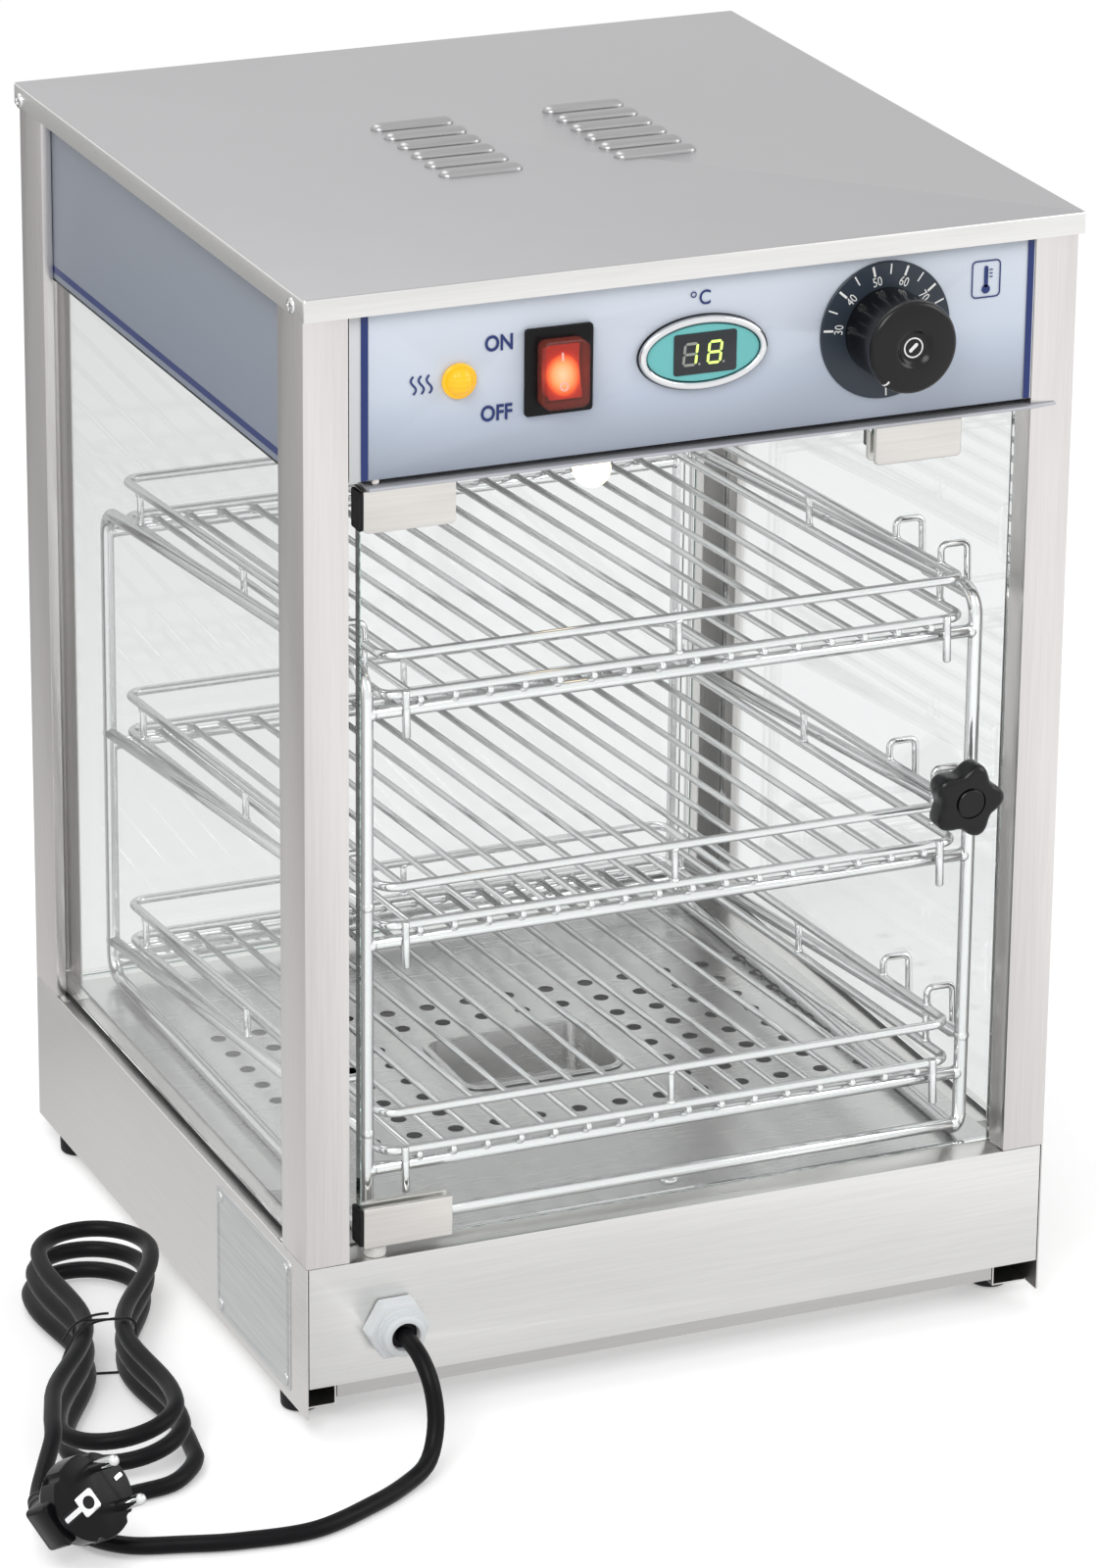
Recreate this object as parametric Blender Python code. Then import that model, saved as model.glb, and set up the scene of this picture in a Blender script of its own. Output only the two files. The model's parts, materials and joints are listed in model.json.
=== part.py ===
# Heated counter display case: folded sheet frame, glass walls, a pivoting glass door
# and an inclined wire rack with three lift-out shelves. Metres, +Z up, front at -Y.
import math

import bmesh
import bpy
import numpy as np
from mathutils import Matrix, Vector

# Fits and sheet metal
GAP = 0.0003
SHEET = 0.0008
OVERRUN = 0.002
WELD_SINK = 0.0006

# Whole case
CASE_WIDTH = 0.340
CASE_DEPTH = 0.340
FOOT_HEIGHT = 0.0075
BASE_HEIGHT = 0.0685
HEAD_HEIGHT = 0.0797

# Base box
FLANGE_SHOWN = 0.0165
FLOOR_LAP = 0.018
FRONT_PANEL_RAISE = 0.0139
SIDE_BOTTOM_FLANGE = 0.017
SIDE_RETURN = 0.014
SIDE_FLANGE_INSET = 0.010
TRAY_RAISE = 0.003
TRAY_LIP = 0.018
FOOT_RADIUS = 0.0085
FOOT_BEVEL = 0.0012
FOOT_SIDE_INSET = 0.0085
FOOT_END_INSET = 0.030

# Floor plate and its hot air holes
HOLE_RADIUS = 0.0035
HOLE_SPAN_X_SHARE = 0.7968
HOLE_SPAN_Y_SHARE = 0.3761
HOLE_COLUMNS = 15
HOLE_ROWS = 8
HOLES_CENTRE_X = -0.0009
HOLES_CENTRE_Y = 0.0039
PAN_BLOCK_COLUMNS = 5
PAN_BLOCK_ROWS = 5
PAN_BLOCK_FIRST_ROW = 1

# Water pan
PAN_WIDTH = 0.072
PAN_LENGTH = 0.054
PAN_DEPTH = 0.025
PAN_CORNER = 0.007
PAN_LIP = 0.0032
PAN_CENTRE_X = -0.001
PAN_CENTRE_Y = 0.003

# Heater and wiring inside the base
HEATER_RADIUS = 0.00325
HEATER_BEND = 0.015
HEATER_CORNER = 0.0144
HEATER_SIDE_MARGIN = 0.074
HEATER_RIGHT = 0.060
HEATER_DROP = 0.004
BRACKET_LENGTH = 0.110
BRACKET_TOP_WIDTH = 0.052
BRACKET_FOOT = 0.012
TERMINAL_LENGTH = 0.046
TERMINAL_WIDTH = 0.022
TERMINAL_HEIGHT = 0.016
TERMINAL_STEP = 0.006
TERMINAL_SIDE_INSET = 0.062
TERMINAL_END_INSET = 0.072

# Corner posts
POST_FACE = 0.0192
POST_INNER_FLANGE = 0.0165
POST_SIDE = 0.028
POST_RETURN = 0.0045

# Glass walls
GLASS = 0.004
GLASS_INSET = 0.0048
GLASS_HEIGHT = 0.3354
SIDE_GLASS_SETBACK = 0.020
SEAL = 0.0014

# Head of the case
CEILING_FLANGE = 0.010
LEDGE_THICKNESS = 0.0013
LEDGE_OVERHANG = 0.003
LEDGE_LAP = 0.025
LEDGE_LEFT_SETBACK = 0.027
LEDGE_TIP = 0.0115
LEDGE_TIP_DEPTH = 0.0008
FASCIA_SLOT = 0.0026
HEAD_DROP = 0.0009
FASCIA_FLANGE = 0.0128

# Lid and louvres
LID_SIDE_CLEARANCE = 0.0004
LID_OVERHANG = 0.0041
LID_SKIRT = 0.0093
LOUVRE_LENGTH = 0.0375
LOUVRE_WIDTH = 0.0048
LOUVRE_RISE = 0.0028
LOUVRE_PITCH = 0.0152
LOUVRE_ROWS = 6
LOUVRE_GROUPS = 2
LOUVRE_GROUP_SPACING = 0.0791
LOUVRE_CENTRE_X = 0.0027
LOUVRE_CENTRE_Y = 0.0033
LOUVRE_STEPS = 3

# Door
DOOR_SIDE_SETBACK = 0.0248
DOOR_GLASS = 0.005
DOOR_SETBACK = 0.00475
DOOR_TOP_CLEARANCE = 0.0004
HINGE_INSET = 0.0074
CLAMP_LENGTH = 0.0396
CLAMP_HEIGHT = 0.0176
CLAMP_WALL = 0.0030
CLAMP_CORNER = 0.0021
CORNER_STEPS = 5
PIN_RADIUS = 0.002
PIN_CLEARANCE = 0.0003
PIN_LENGTH = 0.005
BUSH_RADIUS = 0.0047
BUSH_HEIGHT = 0.0053
CATCH_LENGTH = 0.039
CATCH_HEIGHT = 0.0166
CATCH_INSET = 0.0457
MAGNET_LENGTH = 0.029
MAGNET_DEPTH = 0.0125
MAGNET_HEIGHT = 0.0115
MAGNET_STEP = 0.003

# Door knob with five lobes
KNOB_INSET = 0.0247
KNOB_HEIGHT = 0.1715
KNOB_RADIUS = 0.0145
KNOB_LOBE = 0.002
KNOB_LOBES = 5
KNOB_THICKNESS = 0.012
KNOB_NECK = 0.0078
KNOB_NECK_RADIUS = 0.007
KNOB_CAP_RADIUS = 0.006
KNOB_CAP = 0.002
KNOB_BEVEL = 0.0022
STUD_RADIUS = 0.003
STUD_CLEARANCE = 0.0005
STUD_REACH = 0.013
STUD_HEAD_RADIUS = 0.006
STUD_HEAD = 0.0036

# Wire rack standing in the case
RACK_SIDE_ROOM = 0.033
RACK_FRONT_ROOM = 0.018
RACK_BACK_ROOM = 0.020
STAND_WIRE = 0.003
STAND_BEND = 0.010
CROSS_WIRE = 0.0027
LEVELS = 3
FIRST_LEVEL = 0.0335
LEVEL_SPACING = 0.1007
RACK_FALL = 0.0189
RAIL_FRONT_RISE = 0.017
RAIL_BACK_RISE = 0.0055
TOP_RAIL_BACK_RISE = 0.0095

# Lift-out wire shelves
SHELF_SIDE_ROOM = 0.007
SHELF_FRONT_OVERHANG = 0.003
SHELF_BACK_SETBACK = 0.004
SHELF_BEND = 0.008
FRAME_WIRE = 0.002
ROD_WIRE = 0.0015
ROD_COUNT = 16
ROD_MARGIN = 0.0153
ROD_TAIL = 0.0025
GUARD_RISE = 0.0168
PEG_INSET = 0.0085
PEG_WIRE = 0.00175
PEG_DROP = 0.008
UPRIGHT_MARGIN = 0.022
HOOK_WIRE = 0.0015
HOOK_RISE = 0.009
HOOK_OUT = 0.0123
HOOK_DROP = 0.0145
HOOK_FIRST = 0.018
HOOK_SPACING = 0.043
HOOK_BEND = 0.0028

# Switch
SWITCH_PLACE_SHARE = 0.18118
SWITCH_WIDTH = 0.0293
SWITCH_HEIGHT = 0.0364
SWITCH_FLANGE = 0.0022
SWITCH_BODY_INSET = 0.0013
SWITCH_BODY_DEPTH = 0.022
SWITCH_CORNER = 0.0015
ROCKER_WIDTH = 0.0145
ROCKER_HALF_HEIGHT = 0.011
ROCKER_END = 0.0052
ROCKER_MIDDLE = 0.0036
ROCKER_BACK = 0.0025
ROCKER_BACK_HALF = 0.0085
ROCKER_TILT = math.radians(9)
ROCKER_SIDE_CLEARANCE = 0.0004
ROCKER_END_CLEARANCE = 0.0007
ROCKER_PIVOT = 0.0018
COVER_WIDTH = 0.0195
COVER_HEIGHT = 0.0276
COVER_RISE = 0.0078
COVER_WALL = 0.0008
COVER_CORNER = 0.003

# Controls on the fascia
CONTROL_HEIGHT = 0.0395
LAMP_PLACE_SHARE = 0.30618
LAMP_RADIUS = 0.00725
LAMP_DOME = 0.0045
LAMP_RIM = 0.0015
LAMP_STEM_RADIUS = 0.0058
LAMP_STEM = 0.022
DISPLAY_X = 0.0014
DISPLAY_WIDTH = 0.0566
DISPLAY_HEIGHT = 0.031
DISPLAY_RIM = 0.0034
DISPLAY_RISE = 0.003
DISPLAY_PLATE = 0.0018
DISPLAY_BODY_WIDTH = 0.034
DISPLAY_BODY_HEIGHT = 0.014
DISPLAY_BODY_DEPTH = 0.016
DIAL_PLACE_SHARE = 0.24324
DIAL_RADIUS = 0.029
DIAL_PLATE = 0.001
DIAL_HOLE = 0.0055
SKIRT_RADIUS = 0.0182
SKIRT_FLARE = 0.0006
GRIP_RADIUS = 0.0195
SKIRT_REACH = 0.0243
GRIP_REACH = 0.0293
GRIP_DISH = 0.0022
GRIP_RECESS_RADIUS = 0.005
KNOB_EDGE = 0.0012
SHAFT_RADIUS = 0.003
SHAFT_BORE = 0.012
THERMOSTAT_SIZE = 0.034
THERMOSTAT_DEPTH = 0.028
THERMOSTAT_BORE = 0.018

# Inside lamp
BULB_X = -0.0285
BULB_SETBACK = 0.042
HOLDER_RADIUS = 0.0105
HOLDER_HEIGHT = 0.009
BULB_RADIUS = 0.008
BULB_NECK = 0.0065
BULB_LENGTH = 0.0172

# Cable gland
GLAND_INSET = 0.0385
GLAND_RISE = 0.038
GLAND_HEX = 0.0123
GLAND_HEX_DEPTH = 0.0077
GLAND_DOME_RADIUS = 0.0095
GLAND_DOME = 0.007
GLAND_BORE_RADIUS = 0.0062
GLAND_STEM_RADIUS = 0.008
GLAND_STEM = 0.013

# Mains cord: free route, hank and tail, placed from the case's front left corner
CORD_RADIUS = 0.00365
CORD_STEP = 0.0155
CORD_ROUTE = [(0.0385, -0.0086, 0.04550), (0.0385, -0.0170, 0.04530), (0.0395, -0.0270, 0.04250),
              (0.0405, -0.0360, 0.03500), (0.0405, -0.0420, 0.02400), (0.0380, -0.0470, 0.01400),
              (0.0320, -0.0535, 0.00650), (0.0210, -0.0610, 0.00390), (0.0020, -0.0725, 0.00365),
              (-0.0290, -0.0850, 0.00365), (-0.0600, -0.0830, 0.00365), (-0.0830, -0.0770, 0.00365),
              (-0.1040, -0.0695, 0.00365), (-0.1162, -0.0550, 0.00365), (-0.1140, -0.0385, 0.00365),
              (-0.1010, -0.0290, 0.00365), (-0.0845, -0.0278, 0.00365), (-0.0689, -0.0255, 0.00380),
              (-0.0581, -0.0173, 0.00450)]
TAIL_ROUTE = [(-0.1110, 0.0010, 0.02030), (-0.1200, -0.0150, 0.01600), (-0.1285, -0.0310, 0.01180)]
HANK_OUT = 0.0580
HANK_BACK = 0.0870
HANK_TURN = math.radians(14.5)
HANK_SPREAD = math.radians(5)
HANK_SLIDE = 0.010
HANK_RUN = 0.073
HANK_ROUND = 0.0245
HANK_WAIST = 0.0165
HANK_TURNS = 2.75
RUN_SHARE = 0.25
LOOP_POINTS = 24
NEIGHBOUR_TURNS = 0.16
PLUG_LEAD = 0.011
LAYER_GAP = 0.0007
TIE_WIRE = 0.0006
TIE_BEND = 0.004

# Plug lying on its own cord
PLUG_OUT = 0.1294
PLUG_FORWARD = 0.0583
PLUG_RISE = 0.0196
PLUG_YAW = math.radians(-73.53)
PLUG_PITCH = math.radians(-31.17)
PLUG_ROLL = math.radians(-161)
PLUG_RADIUS = 0.018
PLUG_BACK_RADIUS = 0.015
PLUG_RIM = 0.012
PLUG_BODY = 0.020
PLUG_GRIP_REACH = 0.020
PLUG_GRIP_WIDTH = 0.0195
PLUG_GRIP_CORNER = 0.003
PLUG_GRIP_FRONT = 0.004
PLUG_INLET_OFFSET = 0.001
PLUG_PIN_OFFSET = 0.007
PLUG_INLET = 0.008
PLUG_INLET_RADIUS = 0.0055
PLUG_PIN_RADIUS = 0.0024
PLUG_PIN_LENGTH = 0.019
PLUG_PIN_SPACING = 0.019

# Counts of facets
ROUND = 24
FINE_ROUND = 32
SMALL_ROUND = 12
WIRE_SIDES = 6
STAND_SIDES = 8
BEND_STEPS = 3

# Derived levels and half sizes
HALF_W = CASE_WIDTH / 2
HALF_D = CASE_DEPTH / 2
BASE_TOP = FOOT_HEIGHT + BASE_HEIGHT
FLANGE = FLANGE_SHOWN + FLOOR_LAP
FLOOR_HALF_W = HALF_W - FLANGE_SHOWN - GAP
FLOOR_HALF_D = HALF_D - FLANGE_SHOWN - GAP
FLOOR_TOP = BASE_TOP + GAP + SHEET
POST_BOTTOM = BASE_TOP + GAP
GLASS_BOTTOM = BASE_TOP + GAP + SEAL + GAP
GLASS_TOP = GLASS_BOTTOM + GLASS_HEIGHT
CEILING_BOTTOM = GLASS_TOP + GAP
POST_TOP = CEILING_BOTTOM + HEAD_HEIGHT
LID_TOP = POST_TOP + GAP + SHEET
LEDGE_TOP = CEILING_BOTTOM - GAP
LEDGE_BOTTOM = LEDGE_TOP - LEDGE_THICKNESS
HEAD_BOTTOM = CEILING_BOTTOM + GAP
HEAD_TOP = POST_TOP - HEAD_DROP
FASCIA_BOTTOM = LEDGE_TOP + FASCIA_SLOT
FASCIA_HALF = HALF_W - POST_FACE - GAP
SWITCH_X = -SWITCH_PLACE_SHARE * CASE_WIDTH
LAMP_X = -LAMP_PLACE_SHARE * CASE_WIDTH
DIAL_X = DIAL_PLACE_SHARE * CASE_WIDTH
GLAND_X = GLAND_INSET - HALF_W
BULB_Y = BULB_SETBACK - HALF_D
CONTROL_Z = CEILING_BOTTOM + CONTROL_HEIGHT
PANEL_FACE = -HALF_D - GAP
PANEL_BACK = -HALF_D + SHEET + GAP
DOOR_PLANE = -HALF_D + DOOR_SETBACK
DOOR_BOTTOM = BASE_TOP + GAP + BUSH_HEIGHT + GAP
DOOR_TOP = LEDGE_BOTTOM - DOOR_TOP_CLEARANCE
DOOR_HALF = HALF_W - DOOR_SIDE_SETBACK
CATCH_X = DOOR_HALF - CATCH_INSET
KNOB_X = DOOR_HALF - KNOB_INSET
HINGE_X = -DOOR_HALF + HINGE_INSET
CLAMP_DEPTH = DOOR_GLASS + 2 * (GAP + CLAMP_WALL)
CLAMP_REAR = DOOR_PLANE + CLAMP_DEPTH / 2
KNOB_Z = BASE_TOP + KNOB_HEIGHT
RACK_HALF_WIDTH = HALF_W - RACK_SIDE_ROOM
RACK_FRONT = HALF_D - RACK_FRONT_ROOM
RACK_BACK = HALF_D - RACK_BACK_ROOM
SHELF_HALF_WIDTH = RACK_HALF_WIDTH - SHELF_SIDE_ROOM
PEG_X = SHELF_HALF_WIDTH - PEG_INSET
SIDE_GLASS_HALF = HALF_D - SIDE_GLASS_SETBACK
SHELF_SLOPE = math.atan(RACK_FALL / (RACK_FRONT + RACK_BACK))
SHELF_RUN = math.hypot(RACK_FALL, RACK_FRONT + RACK_BACK)
PAN_FLOOR = FLOOR_TOP + GAP + SHEET - PAN_DEPTH
HEATER_Z = PAN_FLOOR - HEATER_DROP - HEATER_RADIUS
TRAY_BOTTOM = FOOT_HEIGHT + TRAY_RAISE
CASE_CENTRE_Y = (GRIP_REACH - LID_OVERHANG) / 2
HANK_LOW = CORD_RADIUS + 2 * TIE_WIRE + GAP
HANK_LAYER = 2 * CORD_RADIUS + LAYER_GAP
CORD_CORNER = (-HALF_W, -HALF_D, 0)


# Scene and finishes

def clear_scene():
    for old in list(bpy.data.objects):
        bpy.data.objects.remove(old, do_unlink=True)


def finish(name, colour, metallic, roughness, alpha=1.0):
    material = bpy.data.materials.new(name)
    material.use_nodes = True
    shader = material.node_tree.nodes["Principled BSDF"]
    shader.inputs["Base Color"].default_value = (*colour, 1.0)
    shader.inputs["Metallic"].default_value = metallic
    shader.inputs["Roughness"].default_value = roughness
    shader.inputs["Alpha"].default_value = alpha
    material.diffuse_color = (*colour, alpha)
    return material


# Shapes: each is a list of points and a list of faces

def on_axis(axis, a, b, along):
    if axis == "X":
        return (along, a, b)
    if axis == "Y":
        return (a, along, b)
    return (a, b, along)


def prism(outline, axis, start, end):
    # A closed outline in the plane across the axis, carried from start to end.
    count = len(outline)
    points = [on_axis(axis, a, b, start) for a, b in outline]
    points += [on_axis(axis, a, b, end) for a, b in outline]
    faces = [tuple(range(count)), tuple(range(count, 2 * count))]
    for i in range(count):
        j = (i + 1) % count
        faces.append((i, j, count + j, count + i))
    return points, faces


def block(low, high):
    outline = [(low[0], low[1]), (high[0], low[1]), (high[0], high[1]), (low[0], high[1])]
    return prism(outline, "Z", low[2], high[2])


def merged(shapes):
    points = []
    faces = []
    for shape_points, shape_faces in shapes:
        first = len(points)
        points += list(shape_points)
        faces += [tuple(first + i for i in face) for face in shape_faces]
    return points, faces


def turned(profile, axis, centre, segments, ring=False):
    # Profile of (radius, station) pairs turned about the axis; a ring's profile closes on itself.
    points = []
    rings = []
    for radius, station in profile:
        if radius == 0:
            rings.append([len(points)])
            points.append(on_axis(axis, centre[0], centre[1], station))
            continue
        rings.append(list(range(len(points), len(points) + segments)))
        for k in range(segments):
            angle = 2 * math.pi * k / segments
            a = centre[0] + radius * math.cos(angle)
            b = centre[1] + radius * math.sin(angle)
            points.append(on_axis(axis, a, b, station))
    pairs = list(zip(rings, rings[1:]))
    if ring:
        pairs.append((rings[-1], rings[0]))
    faces = []
    for lower, upper in pairs:
        for k in range(segments):
            j = (k + 1) % segments
            corners = [lower[k % len(lower)], lower[j % len(lower)],
                       upper[j % len(upper)], upper[k % len(upper)]]
            faces.append(tuple(dict.fromkeys(corners)))
    return points, faces


def folded(path, thickness):
    # Outline of a sheet bent along a path, its thickness on the right of travel, or the left if negative.
    corners = [Vector(point) for point in path]
    inner = []
    for i, corner in enumerate(corners):
        before = (corner - corners[i - 1]).normalized() if i else None
        after = (corners[i + 1] - corner).normalized() if i + 1 < len(corners) else None
        before = before or after
        after = after or before
        normal = Vector((before.y, -before.x)) + Vector((after.y, -after.x))
        normal.normalize()
        spread = normal.dot(Vector((before.y, -before.x)))
        inner.append(corner + normal * (thickness / spread))
    return [tuple(point) for point in corners] + [tuple(point) for point in reversed(inner)]


def rounded_box(half_a, half_b, radius, steps, centre=(0, 0)):
    outline = []
    for quarter in range(4):
        side_a = 1 if quarter in (0, 3) else -1
        side_b = 1 if quarter in (0, 1) else -1
        for step in range(steps + 1):
            angle = (quarter + step / steps) * math.pi / 2
            a = centre[0] + side_a * (half_a - radius) + radius * math.cos(angle)
            b = centre[1] + side_b * (half_b - radius) + radius * math.sin(angle)
            outline.append((a, b))
    return outline


def oval(half_a, half_b, segments, centre):
    turns = [2 * math.pi * k / segments for k in range(segments)]
    return [(centre[0] + half_a * math.cos(t), centre[1] + half_b * math.sin(t)) for t in turns]


def bent(points, radius, closed=False):
    # Path with every inner corner replaced by an arc of the given radius.
    corners = [Vector(point) for point in points]
    path = []
    for i, corner in enumerate(corners):
        if not closed and i in (0, len(corners) - 1):
            path.append(corner)
            continue
        before = (corner - corners[i - 1]).normalized()
        after = (corners[(i + 1) % len(corners)] - corner).normalized()
        turn = before.angle(after)
        reach = radius * math.tan(turn / 2)
        centre = corner - before * reach + (after - before * before.dot(after)).normalized() * radius
        spoke = corner - before * reach - centre
        axis = before.cross(after).normalized()
        for step in range(BEND_STEPS + 1):
            path.append(centre + Matrix.Rotation(turn * step / BEND_STEPS, 3, axis) @ spoke)
    return path


def wire(path, radius, sides, closed=False):
    # Round wire carried along a path, its section kept from twisting.
    line = [Vector(point) for point in path]
    count = len(line)
    tangents = []
    for i in range(count):
        ahead = line[(i + 1) % count] - line[i] if closed or i + 1 < count else line[i] - line[i - 1]
        behind = line[i] - line[i - 1] if closed or i else ahead
        tangents.append((ahead.normalized() + behind.normalized()).normalized())
    side = tangents[0].orthogonal().normalized()
    points = []
    for i in range(count):
        side = tangents[max(i - 1, 0)].rotation_difference(tangents[i]) @ side
        other = tangents[i].cross(side)
        for k in range(sides):
            angle = 2 * math.pi * k / sides
            points.append(tuple(line[i] + radius * (math.cos(angle) * side + math.sin(angle) * other)))
    faces = []
    for i in range(count if closed else count - 1):
        j = (i + 1) % count
        for k in range(sides):
            n = (k + 1) % sides
            faces.append((i * sides + k, i * sides + n, j * sides + n, j * sides + k))
    if not closed:
        faces.append(tuple(range(sides)))
        faces.append(tuple(range((count - 1) * sides, count * sides)))
    return points, faces


# Objects

def solid(name, shape, material, origin=(0, 0, 0)):
    # One closed mesh with its faces outwards, its own origin moved to the given point.
    mesh = bpy.data.meshes.new(name)
    offset = Vector(origin)
    mesh.from_pydata([tuple(Vector(point) - offset) for point in shape[0]], [], shape[1])
    work = bmesh.new()
    work.from_mesh(mesh)
    bmesh.ops.recalc_face_normals(work, faces=work.faces)
    work.to_mesh(mesh)
    work.free()
    mesh.shade_smooth()
    mesh.set_sharp_from_angle(angle=SMOOTH_ANGLE)
    if material:
        mesh.materials.append(material)
    obj = bpy.data.objects.new(name, mesh)
    bpy.context.collection.objects.link(obj)
    obj.location = origin
    return obj


def shaped(obj, shape, operation):
    # A Boolean with a tool shape given in the same axes as the object's points.
    tool = solid("tool", shape, None)
    tool.matrix_world = obj.matrix_world.copy()
    tool.location = obj.location
    tool.rotation_euler = obj.rotation_euler
    tool.display_type = "WIRE"
    tool.hide_render = True
    change = obj.modifiers.new("shape", "BOOLEAN")
    change.operation = operation
    change.solver = "EXACT"
    change.object = tool
    bpy.context.view_layer.update()
    graph = bpy.context.evaluated_depsgraph_get()
    mesh = bpy.data.meshes.new_from_object(obj.evaluated_get(graph))
    mesh.name = obj.name
    obj.modifiers.clear()
    obj.data = mesh
    mesh.set_sharp_from_angle(angle=SMOOTH_ANGLE)
    bpy.data.objects.remove(tool, do_unlink=True)
    return obj


def cut(obj, *shapes):
    return shaped(obj, merged(shapes), "DIFFERENCE")


def fuse(obj, *shapes):
    return shaped(obj, merged(shapes), "UNION")


SMOOTH_ANGLE = math.radians(40)


# Base

def side_panel(name, side, material):
    # Channel along the side: wall, top flange, bottom flange and its upturned return.
    outer = HALF_W
    top_in = HALF_W - FLANGE
    bottom_in = HALF_W - SIDE_BOTTOM_FLANGE
    path = [(side * top_in, BASE_TOP), (side * outer, BASE_TOP), (side * outer, FOOT_HEIGHT),
            (side * bottom_in, FOOT_HEIGHT), (side * bottom_in, FOOT_HEIGHT + SIDE_RETURN)]
    panel = solid(name, prism(folded(path, side * SHEET), "Y", -HALF_D, HALF_D), material)
    wall_face = HALF_W - SHEET
    ends = []
    for end in (-1, 1):
        top_end = HALF_D - FLANGE - GAP
        bottom_end = HALF_D - SIDE_FLANGE_INSET
        ends.append(between((side * wall_face, end * top_end, BASE_TOP - SHEET - OVERRUN),
                            (side * (top_in - OVERRUN), end * (HALF_D + OVERRUN), BASE_TOP + OVERRUN)))
        ends.append(between((side * wall_face, end * bottom_end, FOOT_HEIGHT - OVERRUN),
                            (side * (bottom_in - OVERRUN), end * (HALF_D + OVERRUN),
                             FOOT_HEIGHT + SIDE_RETURN + OVERRUN)))
    return cut(panel, *ends)


def between(one, other):
    # The block with these two opposite corners.
    low = [min(pair) for pair in zip(one, other)]
    high = [max(pair) for pair in zip(one, other)]
    return block(low, high)


def end_panel(name, side, material):
    # Front or back wall of the base with its top flange.
    face = side * HALF_D
    path = [(face, FOOT_HEIGHT + FRONT_PANEL_RAISE), (face, BASE_TOP), (face - side * FLANGE, BASE_TOP)]
    half = HALF_W - SHEET - GAP
    return solid(name, prism(folded(path, -side * SHEET), "X", -half, half), material)


def bottom_tray(material):
    half_x = HALF_W - SIDE_BOTTOM_FLANGE - GAP
    half_y = HALF_D - SIDE_FLANGE_INSET
    top = TRAY_BOTTOM + TRAY_LIP
    tray = solid("bottom_tray", block((-half_x, -half_y, TRAY_BOTTOM), (half_x, half_y, top)), material)
    return cut(tray, block((SHEET - half_x, SHEET - half_y, TRAY_BOTTOM + SHEET),
                           (half_x - SHEET, half_y - SHEET, top + OVERRUN)))


def foot(name, side_x, side_y, material):
    top = FOOT_HEIGHT - GAP
    profile = [(0, 0), (FOOT_RADIUS - FOOT_BEVEL, 0), (FOOT_RADIUS, FOOT_BEVEL), (FOOT_RADIUS, top),
               (0, top)]
    obj = solid(name, turned(profile, "Z", (0, 0), SMALL_ROUND), material)
    obj.location = (side_x * (HALF_W - FOOT_SIDE_INSET), side_y * (HALF_D - FOOT_END_INSET), 0)
    return obj


def floor_plate(material):
    low = FLOOR_TOP - SHEET
    plate = solid("floor_plate", block((-FLOOR_HALF_W, -FLOOR_HALF_D, low),
                                       (FLOOR_HALF_W, FLOOR_HALF_D, FLOOR_TOP)), material)
    first_column = (HOLE_COLUMNS - PAN_BLOCK_COLUMNS) // 2
    cutters = []
    for row in range(HOLE_ROWS):
        for column in range(HOLE_COLUMNS):
            beside_pan = (PAN_BLOCK_FIRST_ROW <= row < PAN_BLOCK_FIRST_ROW + PAN_BLOCK_ROWS
                          and first_column <= column < first_column + PAN_BLOCK_COLUMNS)
            if beside_pan:
                continue
            x = HOLES_CENTRE_X + (2 * column / (HOLE_COLUMNS - 1) - 1) * HOLE_SPAN_X_SHARE * HALF_W
            y = HOLES_CENTRE_Y + (2 * row / (HOLE_ROWS - 1) - 1) * HOLE_SPAN_Y_SHARE * HALF_D
            ring = oval(HOLE_RADIUS, HOLE_RADIUS, WIRE_SIDES, (x, y))
            cutters.append(prism(ring, "Z", low - OVERRUN, FLOOR_TOP + OVERRUN))
    opening = rounded_box(PAN_WIDTH / 2 + SHEET + GAP, PAN_LENGTH / 2 + SHEET + GAP,
                          PAN_CORNER + SHEET + GAP, BEND_STEPS, (PAN_CENTRE_X, PAN_CENTRE_Y))
    cutters.append(prism(opening, "Z", low - OVERRUN, FLOOR_TOP + OVERRUN))
    return cut(plate, *cutters)


def water_pan(material):
    centre = (PAN_CENTRE_X, PAN_CENTRE_Y)
    rim_bottom = FLOOR_TOP + GAP
    rim_top = rim_bottom + SHEET
    lip = rounded_box(PAN_WIDTH / 2 + PAN_LIP, PAN_LENGTH / 2 + PAN_LIP, PAN_CORNER + PAN_LIP, BEND_STEPS,
                      centre)
    body = rounded_box(PAN_WIDTH / 2 + SHEET, PAN_LENGTH / 2 + SHEET, PAN_CORNER + SHEET, BEND_STEPS, centre)
    well = rounded_box(PAN_WIDTH / 2, PAN_LENGTH / 2, PAN_CORNER, BEND_STEPS, centre)
    pan = solid("water_pan", prism(lip, "Z", rim_bottom, rim_top), material)
    fuse(pan, prism(body, "Z", PAN_FLOOR, rim_bottom + SHEET / 2))
    cut(pan, prism(well, "Z", PAN_FLOOR + SHEET, rim_top + OVERRUN))
    return pan


def heating_element(material):
    left = HEATER_SIDE_MARGIN - HALF_W
    right = PAN_CENTRE_X + HEATER_RIGHT
    path = [(left, PAN_CENTRE_Y - HEATER_BEND, HEATER_Z), (right, PAN_CENTRE_Y - HEATER_BEND, HEATER_Z),
            (right, PAN_CENTRE_Y + HEATER_BEND, HEATER_Z), (left, PAN_CENTRE_Y + HEATER_BEND, HEATER_Z)]
    return solid("heating_element", wire(bent(path, HEATER_CORNER), HEATER_RADIUS, STAND_SIDES), material)


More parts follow.
